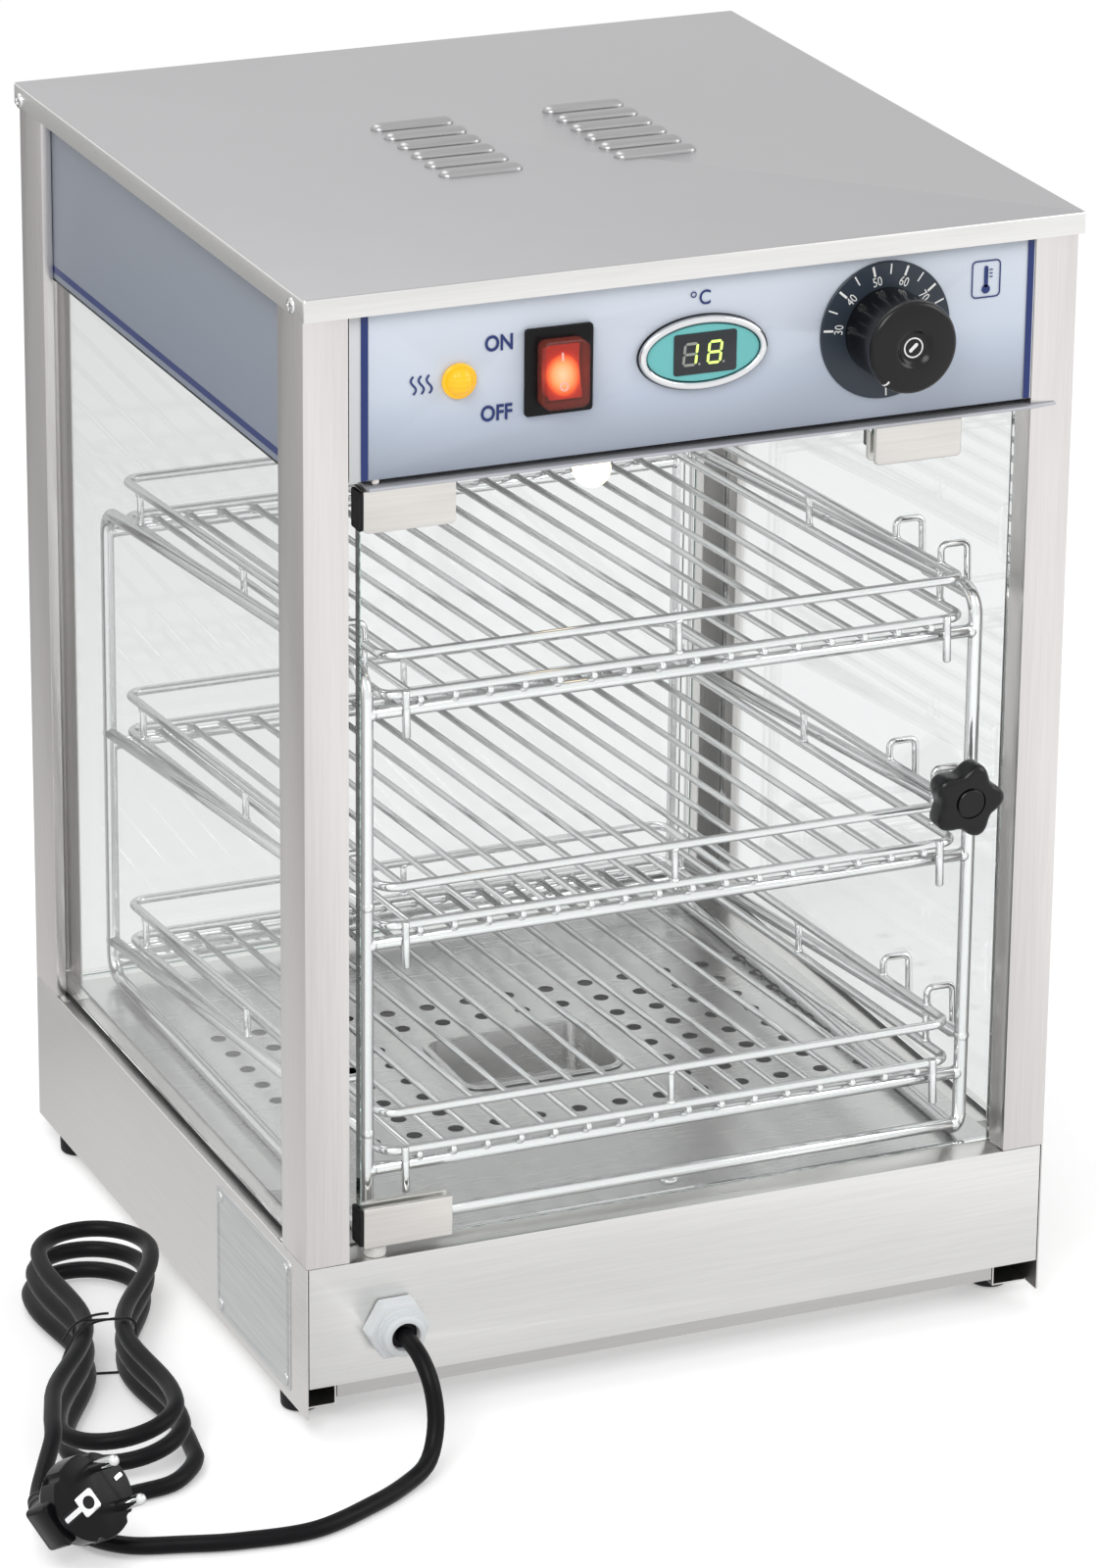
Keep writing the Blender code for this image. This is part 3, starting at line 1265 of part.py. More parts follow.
def lamp_holder(material):
    high = CEILING_BOTTOM - GAP
    low = high - HOLDER_HEIGHT
    profile = [(0, high), (HOLDER_RADIUS, high), (HOLDER_RADIUS, low), (0, low)]
    return solid("lamp_holder", turned(profile, "Z", (BULB_X, BULB_Y), SMALL_ROUND), material)


def bulb(material):
    high = CEILING_BOTTOM - GAP - HOLDER_HEIGHT - GAP
    profile = [(0, high), (BULB_NECK, high), (BULB_NECK, high - BULB_LENGTH / 5)]
    for step in range(BEND_STEPS + 1):
        angle = math.pi / 2 * step / BEND_STEPS
        radius = BULB_RADIUS * math.cos(angle) if step < BEND_STEPS else 0
        profile.append((radius, high - BULB_LENGTH / 2 - BULB_LENGTH / 2 * math.sin(angle)))
    return solid("bulb", turned(profile, "Z", (BULB_X, BULB_Y), SMALL_ROUND), material)


# Gland in the front panel

def gland_centre():
    return (GLAND_X, FOOT_HEIGHT + GLAND_RISE)


def cord_gland(material):
    centre = gland_centre()
    corner = GLAND_HEX / math.cos(math.pi / 6)
    hexagon = oval(corner, corner, 6, centre)
    flange_front = PANEL_FACE - GLAND_HEX_DEPTH
    gland = solid("cord_gland", prism(hexagon, "Y", flange_front, PANEL_FACE), material)
    dome = [(0, flange_front + OVERRUN), (GLAND_DOME_RADIUS, flange_front + OVERRUN),
            (GLAND_DOME_RADIUS, flange_front - GLAND_DOME + KNOB_EDGE),
            (GLAND_DOME_RADIUS - KNOB_EDGE, flange_front - GLAND_DOME), (0, flange_front - GLAND_DOME)]
    stem = [(0, PANEL_FACE - OVERRUN), (GLAND_STEM_RADIUS, PANEL_FACE - OVERRUN),
            (GLAND_STEM_RADIUS, PANEL_FACE + GLAND_STEM), (0, PANEL_FACE + GLAND_STEM)]
    fuse(gland, turned(dome, "Y", centre, ROUND), turned(stem, "Y", centre, ROUND))
    mouth = [(0, flange_front), (GLAND_BORE_RADIUS, flange_front),
             (GLAND_BORE_RADIUS, flange_front - GLAND_DOME - OVERRUN),
             (0, flange_front - GLAND_DOME - OVERRUN)]
    return cut(gland, turned(mouth, "Y", centre, ROUND))


def gland_hole(panel):
    radius = GLAND_STEM_RADIUS + GAP
    outline = oval(radius, radius, ROUND, gland_centre())
    return cut(panel, prism(outline, "Y", -HALF_D - OVERRUN, -HALF_D + SHEET + OVERRUN))


# Mains cord

def smooth_route(points, step):
    # Smooth curve read off at even steps between two straight ends, the first and last stretch.
    places = [np.array(point) for point in points]
    dense = []
    for before, start, end, after in zip(places, places[1:], places[2:], places[3:]):
        for t in np.arange(0, 1, 1 / 24):
            bend = (2 * before - 5 * start + 4 * end - after) * t ** 2
            twist = (3 * start - 3 * end + after - before) * t ** 3
            dense.append(start + ((end - before) * t + bend + twist) / 2)
    dense.append(places[-2])
    dense = np.array(dense)
    along = np.concatenate([[0], np.cumsum(np.linalg.norm(np.diff(dense, axis=0), axis=1))])
    stations = np.linspace(0, along[-1], max(2, round(along[-1] / step)) + 1)
    inner = np.stack([np.interp(stations, along, dense[:, k]) for k in range(3)], axis=1)
    return [tuple(places[0])] + [tuple(point) for point in inner] + [tuple(places[-1])]


def cord_tube(name, points, resolution, material):
    data = bpy.data.curves.new(name, "CURVE")
    data.dimensions = "3D"
    data.bevel_depth = CORD_RADIUS
    data.bevel_resolution = resolution
    data.use_fill_caps = True
    spline = data.splines.new("POLY")
    spline.points.add(len(points) - 1)
    for slot, point in zip(spline.points, points):
        slot.co = (*point, 1)
    data.materials.append(material)
    obj = bpy.data.objects.new(name, data)
    bpy.context.collection.objects.link(obj)
    obj.location = CORD_CORNER
    return obj


def hank_place(turn, along, across, z):
    # Point of the hank from its own axes; the later turns lie swung and slid a little past the first.
    share = turn / HANK_TURNS - 0.5
    angle = HANK_TURN + HANK_SPREAD * share
    along += HANK_SLIDE * share
    x = along * math.sin(angle) - across * math.cos(angle) - HANK_OUT
    y = along * math.cos(angle) + across * math.sin(angle) + HANK_BACK
    return (x, y, z)


def hank_point(turn):
    # Two waisted runs and two round ends a turn; the last round end climbs one layer.
    part = turn % 1
    climb = max((part - 0.5 - RUN_SHARE) / (0.5 - RUN_SHARE), 0)
    z = HANK_LOW + HANK_LAYER * (turn // 1 + (3 - 2 * climb) * climb ** 2)
    side = 1 if part < 0.5 else -1
    part = part % 0.5
    if part < RUN_SHARE:
        along = side * HANK_RUN * (2 * part / RUN_SHARE - 1)
        waist = HANK_WAIST * (1 + math.cos(math.pi * along / HANK_RUN)) / 2
        return hank_place(turn, along, side * (waist - HANK_ROUND), z)
    angle = math.pi * (part - RUN_SHARE) / (0.5 - RUN_SHARE)
    along = side * (HANK_RUN + HANK_ROUND * math.sin(angle))
    return hank_place(turn, along, -side * HANK_ROUND * math.cos(angle), z)


def toward(start, end, distance):
    line = (Vector(end) - Vector(start)).normalized()
    return tuple(Vector(start) + line * distance)


def hank_line():
    # The loops with a straight cord diameter at each end.
    count = round(HANK_TURNS * LOOP_POINTS)
    line = [hank_point(HANK_TURNS * i / count) for i in range(count + 1)]
    lead = -2 * CORD_RADIUS
    return [toward(line[0], line[1], lead)] + line + [toward(line[-1], line[-2], lead)]


def least_gap(points):
    # Smallest clear distance between stretches of the tube that aren't neighbours along it.
    line = np.array(points)
    dense = np.concatenate([line[:-1] + (line[1:] - line[:-1]) * t for t in np.arange(0, 1, 0.1)[:, None,
                                                                                                 None]])
    order = np.concatenate([np.arange(len(line) - 1) + t for t in np.arange(0, 1, 0.1)])
    least = np.inf
    for point, place in zip(dense, order):
        away = np.abs(order - place) > LOOP_POINTS * NEIGHBOUR_TURNS
        least = min(least, np.linalg.norm(dense[away] - point, axis=1).min())
    return least - 2 * CORD_RADIUS


def plug_matrix():
    turn = Matrix.Rotation(PLUG_YAW, 4, "Z") @ Matrix.Rotation(PLUG_PITCH, 4, "Y")
    return Matrix.Translation((-PLUG_OUT, -PLUG_FORWARD, PLUG_RISE)) @ turn @ Matrix.Rotation(PLUG_ROLL, 4,
                                                                                              "X")


def power_cord(material):
    start = hank_line()[0]
    lead = toward(start, hank_line()[1], -2 * CORD_RADIUS)
    meet = toward(start, hank_line()[1], -GAP)
    return cord_tube("power_cord", smooth_route(CORD_ROUTE + [lead, meet], CORD_STEP), 2, material)


def cord_bundle(material):
    line = hank_line()
    print(f"cord_bundle least gap {least_gap(line) * 1000:.2f} mm")
    return cord_tube("cord_bundle", line, 1, material)


def cord_tail(material):
    line = hank_line()
    meet = toward(line[-1], line[-2], -GAP)
    lead = toward(line[-1], line[-2], -2 * CORD_RADIUS)
    plug = plug_matrix()
    inlet = plug @ Vector((-GAP, 0, 0))
    before = plug @ Vector((-PLUG_LEAD, 0, 0))
    route = [meet, lead] + TAIL_ROUTE + [tuple(before), tuple(inlet)]
    return cord_tube("cord_tail", smooth_route(route, CORD_STEP), 2, material)


def cable_tie(material):
    # Thin wire loop drawn round the waist of the hank.
    half = HANK_ROUND - HANK_WAIST + CORD_RADIUS + 3 * GAP + TIE_WIRE
    low = TIE_WIRE
    high = HANK_LOW + (HANK_TURNS // 1) * HANK_LAYER + CORD_RADIUS + GAP + TIE_WIRE
    corners = ((-half, low), (half, low), (half, high), (-half, high))
    path = [hank_place(HANK_TURNS / 2, 0, across, z) for across, z in corners]
    tie = solid("cable_tie", wire(bent(path, TIE_BEND, closed=True), TIE_WIRE, WIRE_SIDES, closed=True),
                material)
    tie.location = CORD_CORNER
    return tie


def plug(material):
    # Round face with two pins off its centre, grip to one side and the cord inlet behind; pins point along +X.
    face = PLUG_INLET + PLUG_BODY
    centre = (-PLUG_INLET_OFFSET, 0)
    body = solid("plug", turned([(0, face), (PLUG_RADIUS, face), (PLUG_RADIUS, face - PLUG_RIM),
                                 (PLUG_BACK_RADIUS, PLUG_INLET), (0, PLUG_INLET)], "X", centre, ROUND),
                                 material)
    half = PLUG_GRIP_WIDTH / 2
    middle = (PLUG_GRIP_REACH / 2 - PLUG_INLET_OFFSET, 0)
    grip = rounded_box(PLUG_GRIP_REACH / 2, half, PLUG_GRIP_CORNER, 1, middle)
    fuse(body, prism(grip, "X", PLUG_INLET + GAP, face - PLUG_GRIP_FRONT))
    fuse(body, turned([(0, 0), (PLUG_INLET_RADIUS, 0), (PLUG_INLET_RADIUS, PLUG_INLET + OVERRUN),
                       (0, PLUG_INLET + OVERRUN)], "X", (0, 0), SMALL_ROUND))
    for side in (-1, 1):
        pin = (centre[0] - PLUG_PIN_OFFSET, side * PLUG_PIN_SPACING / 2)
        tip = face + PLUG_PIN_LENGTH
        fuse(body, turned([(0, face - OVERRUN), (PLUG_PIN_RADIUS, face - OVERRUN),
                           (PLUG_PIN_RADIUS, tip - PLUG_PIN_RADIUS / 2), (PLUG_PIN_RADIUS / 2, tip),
                           (0, tip)],
                          "X", pin, SMALL_ROUND))
    place = Matrix.Translation(CORD_CORNER) @ plug_matrix()
    body.location = place.to_translation()
    body.rotation_euler = place.to_euler()
    return body


# Assembly

def build_base(steel, bright, dark, rubber, ceramic):
    pieces = [side_panel("base_side_left", -1, steel), side_panel("base_side_right", 1, steel)]
    front = end_panel("base_front", -1, bright)
    gland_hole(front)
    pieces += [front, end_panel("base_back", 1, bright), bottom_tray(dark), floor_plate(steel),
               water_pan(bright),
               heating_element(dark), heater_bracket(steel), terminal_block(ceramic)]
    for side_x, word_x in ((-1, "left"), (1, "right")):
        for side_y, word_y in ((-1, "front"), (1, "rear")):
            pieces.append(foot(f"foot_{word_y}_{word_x}", side_x, side_y, rubber))
    return pieces


def build_walls(steel, bright, glass, rubber):
    pieces = []
    for side_x, word_x in ((-1, "left"), (1, "right")):
        for side_y, word_y in ((-1, "front"), (1, "rear")):
            pieces.append(post(f"post_{word_y}_{word_x}", side_x, side_y, bright))
        pieces.append(side_glass(f"side_glass_{word_x}", side_x, glass))
        pieces.append(side_seal(f"glass_seal_{word_x}", side_x, rubber))
        pieces.append(header_side(f"header_{word_x}", side_x, steel))
    pieces += [back_glass(glass), flanged_head("header_back", 1, HEAD_BOTTOM, steel)]
    return pieces


def build_head(steel, bright, ceramic, lamp_glass):
    return [fascia(bright), ceiling_plate(steel), ledge_strip(bright), lid(steel), lamp_holder(ceramic),
            bulb(lamp_glass)]


def build_controls(black, red, clear, amber, chrome, teal, steel):
    return [switch_frame(black), rocker(red), splash_cover(clear), pilot_lamp(amber), display_bezel(chrome),
            display_module(teal), dial_plate(black), thermostat_knob(black), thermostat_body(steel),
            thermostat_shaft(steel)]


def build_door(glass, steel, chrome, black):
    return [door_glass(glass), hinge_clamp("hinge_clamp_lower", DOOR_BOTTOM, 1, steel),
            hinge_clamp("hinge_clamp_upper", DOOR_TOP, -1, steel),
            hinge_bush(steel), catch_plate(steel), magnet_catch(black), door_knob(black), door_stud(chrome)]


def build_rack(chrome):
    names = ("shelf_lower", "shelf_middle", "shelf_upper")
    return [wire_stand(chrome)] + [wire_shelf(name, level, chrome) for level, name in enumerate(names)]


def main():
    clear_scene()
    steel = finish("brushed_steel", (0.56, 0.56, 0.56), 1.0, 0.38)
    bright = finish("bright_steel", (0.78, 0.78, 0.77), 1.0, 0.32)
    dark = finish("dark_steel", (0.22, 0.22, 0.23), 1.0, 0.5)
    chrome = finish("chrome_wire", (0.72, 0.73, 0.75), 1.0, 0.12)
    glass = finish("clear_glass", (0.88, 0.94, 0.93), 0.0, 0.04, 0.25)
    clear = finish("clear_cover", (0.95, 0.85, 0.84), 0.0, 0.15, 0.35)
    rubber = finish("black_rubber", (0.02, 0.02, 0.022), 0.0, 0.7)
    black = finish("black_plastic", (0.025, 0.025, 0.028), 0.0, 0.35)
    white = finish("gland_plastic", (0.78, 0.79, 0.80), 0.0, 0.45)
    ceramic = finish("ceramic", (0.82, 0.80, 0.76), 0.0, 0.6)
    red = finish("red_rocker", (0.85, 0.10, 0.03), 0.0, 0.3)
    amber = finish("amber_lens", (0.95, 0.55, 0.05), 0.0, 0.2)
    teal = finish("teal_panel", (0.16, 0.50, 0.47), 0.0, 0.3)
    lamp_glass = finish("lamp_glass", (1.0, 0.93, 0.75), 0.0, 0.1)
    pieces = build_base(steel, bright, dark, rubber, ceramic)
    pieces += build_walls(steel, bright, glass, rubber)
    pieces += build_head(steel, bright, ceramic, lamp_glass)
    pieces += build_controls(black, red, clear, amber, chrome, teal, steel)
    pieces += build_door(glass, bright, chrome, black)
    pieces += build_rack(chrome)
    pieces += [cord_gland(white), power_cord(rubber), cord_bundle(rubber), cord_tail(rubber),
               cable_tie(black),
               plug(black)]
    frame = bpy.data.objects.new("case_frame", None)
    bpy.context.collection.objects.link(frame)
    frame.location = (0, CASE_CENTRE_Y, 0)
    for piece in pieces:
        piece.parent = frame


main()
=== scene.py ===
import json
import math

import bmesh
import bpy
import numpy as np
from mathutils import Matrix, Vector

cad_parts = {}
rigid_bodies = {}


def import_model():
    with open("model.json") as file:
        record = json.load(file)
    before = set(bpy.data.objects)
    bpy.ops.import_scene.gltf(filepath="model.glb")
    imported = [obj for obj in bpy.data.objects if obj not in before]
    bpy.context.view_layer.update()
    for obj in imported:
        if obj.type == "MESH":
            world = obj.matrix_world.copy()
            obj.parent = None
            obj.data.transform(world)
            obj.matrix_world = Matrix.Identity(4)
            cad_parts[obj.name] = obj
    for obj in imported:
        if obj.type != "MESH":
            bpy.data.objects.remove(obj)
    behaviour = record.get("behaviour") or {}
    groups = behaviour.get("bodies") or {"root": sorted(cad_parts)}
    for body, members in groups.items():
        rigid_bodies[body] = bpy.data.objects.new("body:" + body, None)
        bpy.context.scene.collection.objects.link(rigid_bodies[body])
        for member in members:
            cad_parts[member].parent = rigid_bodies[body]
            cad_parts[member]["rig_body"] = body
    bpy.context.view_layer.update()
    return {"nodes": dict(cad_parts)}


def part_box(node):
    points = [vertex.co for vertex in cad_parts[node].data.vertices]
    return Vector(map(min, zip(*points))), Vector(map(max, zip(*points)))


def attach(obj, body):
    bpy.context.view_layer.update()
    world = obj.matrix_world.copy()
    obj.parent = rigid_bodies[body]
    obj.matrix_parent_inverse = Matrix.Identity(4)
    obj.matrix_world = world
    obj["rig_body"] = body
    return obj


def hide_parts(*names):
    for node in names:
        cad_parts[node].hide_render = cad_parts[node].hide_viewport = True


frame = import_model()
nodes = frame["nodes"]
print("packed case loaded")

# The frame is centred on the case with its dial knob, so what is measured from the case's own
# middle moves back by this.
caseShift = np.array([0.0, 0.0126, 0.0])


# Camera

view = {"azimuth": -23.32, "elevation": 21.15, "roll": 0.57, "lens": 153.3, "sensor": 36.0, "farthest": 50,
        "place": (-1.06715, -2.48647, 1.25737)}


def placeCamera():
    azimuth, elevation, roll = (math.radians(view[key]) for key in ("azimuth", "elevation", "roll"))
    back = Vector((math.sin(azimuth) * math.cos(elevation), -math.cos(azimuth) * math.cos(elevation),
                   math.sin(elevation)))
    level = (-back).cross(Vector((0, 0, 1))).normalized()
    rise = level.cross(-back)
    right = level * math.cos(roll) + rise * math.sin(roll)
    up = rise * math.cos(roll) - level * math.sin(roll)
    data = bpy.data.cameras.new("caseCamera")
    data.sensor_width = view["sensor"]
    data.lens = view["lens"]
    data.clip_end = view["farthest"]
    camera = bpy.data.objects.new("caseCamera", data)
    bpy.context.scene.collection.objects.link(camera)
    turn = Matrix((right, up, back)).transposed().to_4x4()
    camera.matrix_world = Matrix.Translation(view["place"]) @ turn
    bpy.context.scene.camera = camera


placeCamera()


# Mesh making: a surface is a pair of points and faces

def linked(name, mesh):
    piece = bpy.data.objects.new(name, mesh)
    bpy.context.scene.collection.objects.link(piece)
    return piece


def putMesh(name, surfaces, material, *replaced, body="case", sharp=40.0, offset=caseShift):
    # one surface or a list of them as a piece; replaced names the CAD nodes it stands for
    points, faces, count = [], [], 0
    for part, corners in surfaces if isinstance(surfaces, list) else [surfaces]:
        points.append(np.asarray(part, float).reshape(-1, 3) + offset)
        faces += [tuple(corner + count for corner in face) for face in corners]
        count += len(points[-1])
    mesh = bpy.data.meshes.new(name)
    mesh.from_pydata(np.concatenate(points).tolist(), [], faces)
    work = bmesh.new()
    work.from_mesh(mesh)
    bmesh.ops.remove_doubles(work, verts=work.verts, dist=1e-7)
    bmesh.ops.recalc_face_normals(work, faces=work.faces)
    work.to_mesh(mesh)
    work.free()
    mesh.shade_smooth()
    mesh.set_sharp_from_angle(angle=math.radians(sharp))
    mesh.materials.append(material)
    piece = linked(name, mesh)
    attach(piece, body)
    if replaced:
        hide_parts(*replaced)
    return piece


def softened(name, node, width, material=None, segments=2):
    # copy of a sheet or block solid whose edges are rounded to the given width
    work = bmesh.new()
    work.from_mesh(nodes[node].data)
    bmesh.ops.remove_doubles(work, verts=work.verts, dist=2e-6)
    bmesh.ops.dissolve_limit(work, angle_limit=math.radians(1.0), verts=work.verts, edges=work.edges)
    mesh = bpy.data.meshes.new(name)
    work.to_mesh(mesh)
    work.free()
    mesh.shade_smooth()
    if material:
        mesh.materials.append(material)
    piece = linked(name, mesh)
    rounding = piece.modifiers.new("edges", "BEVEL")
    rounding.width = width
    rounding.segments = segments
    rounding.limit_method = "ANGLE"
    rounding.angle_limit = math.radians(35)
    rounding.harden_normals = True
    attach(piece, nodes[node]["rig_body"])
    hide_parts(node)
    return piece


def secondMaterial(piece, material, test):
    # the second material on the faces whose normal passes the test
    piece.data.materials.append(material)
    for face in piece.data.polygons:
        face.material_index = int(test(face.normal))


def gridFaces(rows, columns, closeRows, closeColumns):
    # quads of a rows by columns grid of points, either way closed on itself
    row, column = np.meshgrid(np.arange(rows - (not closeRows)), np.arange(columns - (not closeColumns)),
                              indexing="ij")
    nextRow, nextColumn = (row + 1) % rows, (column + 1) % columns
    quads = np.stack([row * columns + column, row * columns + nextColumn, nextRow * columns + nextColumn,
                      nextRow * columns + column], -1)
    return [tuple(quad) for quad in quads.reshape(-1, 4).tolist()]


def shellFaces(rows, columns):
    # grid closed round its columns, with a flat cap on its first and last row
    return gridFaces(rows, columns, False, True) + [tuple(range(columns)),
                                                    tuple(range((rows - 1) * columns, rows * columns))]


def carryFrames(path, closed):
    # unit tangents of a path and a side vector carried along it without twist
    ahead = np.roll(path, -1, 0) - path
    behind = path - np.roll(path, 1, 0)
    if not closed:
        ahead[-1] = behind[-1]
        behind[0] = ahead[0]
    ahead /= np.linalg.norm(ahead, axis=1)[:, None]
    behind /= np.linalg.norm(behind, axis=1)[:, None]
    tangent = ahead + behind
    tangent /= np.linalg.norm(tangent, axis=1)[:, None]
    side = np.zeros_like(path)
    side[0] = np.cross(tangent[0], np.eye(3)[np.argmin(np.abs(tangent[0]))])
    side[0] /= np.linalg.norm(side[0])
    for i in range(1, len(path)):
        carried = side[i - 1] - tangent[i] * side[i - 1].dot(tangent[i])
        side[i] = carried / np.linalg.norm(carried)
    return side, np.cross(tangent, side)


def unitCircle(count):
    turn = np.linspace(0, 2 * np.pi, count, endpoint=False)
    return np.stack([np.cos(turn), np.sin(turn)], -1)


def tube(path, radius, sides=14, closed=False):
    # a circle of the given radius (or one radius per place) swept square along the path
    path = np.asarray(path, float)
    side, other = carryFrames(path, closed)
    radii = np.broadcast_to(np.asarray(radius, float), (len(path),))
    across, up = unitCircle(sides).T[:, None, :, None]
    points = path[:, None] + (side[:, None] * across + other[:, None] * up) * radii[:, None, None]
    return points, gridFaces(len(path), sides, True, True) if closed else shellFaces(len(path), sides)


def arcCorners(points, radius, steps=7, closed=False):
    # straight path whose corners are replaced by arcs: arc point = centre + spoke turned about the
    # corner's axis
    corners = np.asarray(points, float)
    count = len(corners)
    path = []
    for i in range(count):
        if not closed and i in (0, count - 1):
            path.append(corners[i])
            continue
        before = corners[i] - corners[i - 1]
        after = corners[(i + 1) % count] - corners[i]
        before /= np.linalg.norm(before)
        after /= np.linalg.norm(after)
        turn = math.acos(max(-1.0, min(1.0, float(before.dot(after)))))
        inward = after - before * before.dot(after)
        inward /= np.linalg.norm(inward)
        start = corners[i] - before * radius * math.tan(turn / 2)
        angle = np.linspace(0, turn, steps)[:, None]
        path.extend(start + inward * radius * (1 - np.cos(angle)) + before * radius * np.sin(angle))
    return np.array(path)


def stackOutlines(outlines, axis, stations, centre=(0, 0, 0), ends="capped"):
    # equal outlines joined from station to station along an axis: capped, open where they end in a
    # point, or a ring
    a, b = np.moveaxis(np.asarray(outlines, float), -1, 0)
    s = np.broadcast_to(np.asarray(stations, float)[:, None], a.shape)
    points = np.stack({"X": (s, a, b), "Y": (a, s, b), "Z": (a, b, s)}[axis], -1) + np.asarray(centre,
                                                                                               float)
    return points, shellFaces(*a.shape) if ends == "capped" else gridFaces(*a.shape, ends == "ring", True)


def lathe(profile, axis, centre=(0, 0, 0), segments=48):
    # (radius, station) profile turned about an axis through centre; radius 0 closes a pole
    radius, station = np.asarray(profile, float).T
    return stackOutlines(radius[:, None, None] * unitCircle(segments), axis, station, centre, "open")


def band(outer, inner, axis, low, high, centre=(0, 0, 0)):
    # plate from low to high between two outlines of equal count
    return stackOutlines([outer, outer, inner, inner], axis, (low, high, high, low), centre, "ring")


def slab(outline, axis, low, high, centre=(0, 0, 0)):
    return stackOutlines([outline, outline], axis, (low, high), centre)


def roundedOutline(halfWide, halfHigh, corner, steps=6):
    # corner circles joined into one outline, counterclockwise
    turn = np.linspace(0, np.pi / 2, steps + 1) + np.arange(4)[:, None] * np.pi / 2
    middle = np.array([(1, 1), (-1, 1), (-1, -1), (1, -1)]) * (halfWide - corner, halfHigh - corner)
    return (middle[:, None] + corner * np.stack([np.cos(turn), np.sin(turn)], -1)).reshape(-1, 2)


def quarterArc(centre, reach, steps, sineFirst=False):
    # quarter of an ellipse: centre plus cosine and sine, or sine and cosine, of the turn times the reach
    turn = np.linspace(0, np.pi / 2, steps)
    pair = (np.sin(turn), np.cos(turn)) if sineFirst else (np.cos(turn), np.sin(turn))
    return [tuple(place) for place in np.stack(pair, -1) * reach + centre]


def cornersOf(low, high):
    return np.array([low, (high[0], low[1]), high, (low[0], high[1])])


def boxShape(low, high):
    return slab(cornersOf(low[:2], high[:2]), "Z", low[2], high[2])


def moved(surface, matrix):
    points, faces = surface
    matrix = np.array(matrix)
    return np.asarray(points, float).reshape(-1, 3) @ matrix[:3, :3].T + matrix[:3, 3], faces


# Materials

def shaderOf(name, **sockets):
    # a new node material with its Principled sockets set
    material = bpy.data.materials.new(name)
    material.use_nodes = True
    shader = material.node_tree.nodes["Principled BSDF"]
    for label, value in sockets.items():
        shader.inputs[label.replace("_", " ")].default_value = value
    return material, shader


def addNode(tree, kind, *inputs, **values):
    # node whose settings, named inputs and first inputs are given; an input takes a value or
    # another node's socket
    node = tree.nodes.new("ShaderNode" + kind)
    given = dict(enumerate(inputs))
    for label, value in values.items():
        if hasattr(node, label):
            setattr(node, label, value)
        else:
            given[label.replace("_", " ")] = value
    for label, value in given.items():
        if isinstance(value, bpy.types.NodeSocket):
            tree.links.new(value, node.inputs[label])
        else:
            node.inputs[label].default_value = value
    return node


def worked(tree, operation, *values, kind="Math"):
    return addNode(tree, kind, *values, operation=operation).outputs[0]


def ranged(tree, value, to, come=(0.0, 1.0), **settings):
    # the value carried from one span to another
    return addNode(tree, "MapRange", value, *come, *to, **settings).outputs[0]


def rampOf(tree, value, *stops):
    # colours at their places along the value
    ramp = addNode(tree, "ValToRGB", value)
    elements = ramp.color_ramp.elements
    for element, (place, colour) in zip((elements[0], elements[1]), (stops[0], stops[-1])):
        element.position = place
        element.color = (*colour, 1.0)
    for place, colour in stops[1:-1]:
        elements.new(place).color = (*colour, 1.0)
    return ramp.outputs["Color"]


def mixed(tree, share, first, second):
    return addNode(tree, "MixShader", share, first, second).outputs[0]


def show(tree, surface):
    tree.links.new(surface, tree.nodes["Material Output"].inputs["Surface"])


def objectPlace(tree):
    return tree.nodes.new("ShaderNodeTexCoord").outputs["Object"]


def newGroup(name, inputs, outputs):
    # shader node group with a place, further vector or value inputs, and value outputs
    group = bpy.data.node_groups.new(name, "ShaderNodeTree")
    group.interface.new_socket(name="Place", in_out="INPUT", socket_type="NodeSocketVector")
    for label, default in inputs.items():
        kind = "NodeSocketVector" if isinstance(default, tuple) else "NodeSocketFloat"
        group.interface.new_socket(name=label, in_out="INPUT", socket_type=kind).default_value = default
    for label in outputs:
        group.interface.new_socket(name=label, in_out="OUTPUT", socket_type="NodeSocketFloat")
    return group, group.nodes.new("NodeGroupInput").outputs, group.nodes.new("NodeGroupOutput").inputs


def makeBrushGroup():
    # fine grain stretched along one direction, with slow patches over it
    group, given, result = newGroup("brushGrain", {"Stretch": (20.0, 900.0, 900.0), "Low": 0.9,
                                                   "High": 1.05},
                                    ("Tone", "Height"))
    spread = worked(group, "MULTIPLY", given["Place"], given["Stretch"], kind="VectorMath")
    grain = addNode(group, "TexNoise", Vector=spread, Scale=1.0, Detail=3.0, Roughness=0.6).outputs["Fac"]
    patch = addNode(group, "TexNoise", Vector=given["Place"], Scale=9.0, Detail=2.0).outputs["Fac"]
    tone = ranged(group, worked(group, "MULTIPLY_ADD", patch, 0.35, grain), (given["Low"], given["High"]),
                  (0.45, 0.90))
    group.links.new(tone, result["Tone"])
    group.links.new(grain, result["Height"])
    return group


def makeSpeckleGroup():
    # small pits and slow clouds for moulded and rubber faces
    group, given, result = newGroup("mouldGrain", {"Scale": 900.0, "Low": 0.4, "High": 0.5},
                                    ("Rough", "Height"))
    fine = addNode(group, "TexNoise", Vector=given["Place"], Scale=given["Scale"],
                   Detail=2.0).outputs["Fac"]
    cloud = addNode(group, "TexNoise", Vector=given["Place"], Scale=35.0, Detail=3.0).outputs["Fac"]
    group.links.new(ranged(group, cloud, (given["Low"], given["High"]), (0.3, 0.7)), result["Rough"])
    group.links.new(fine, result["Height"])
    return group


brushGroup = makeBrushGroup()
speckleGroup = makeSpeckleGroup()


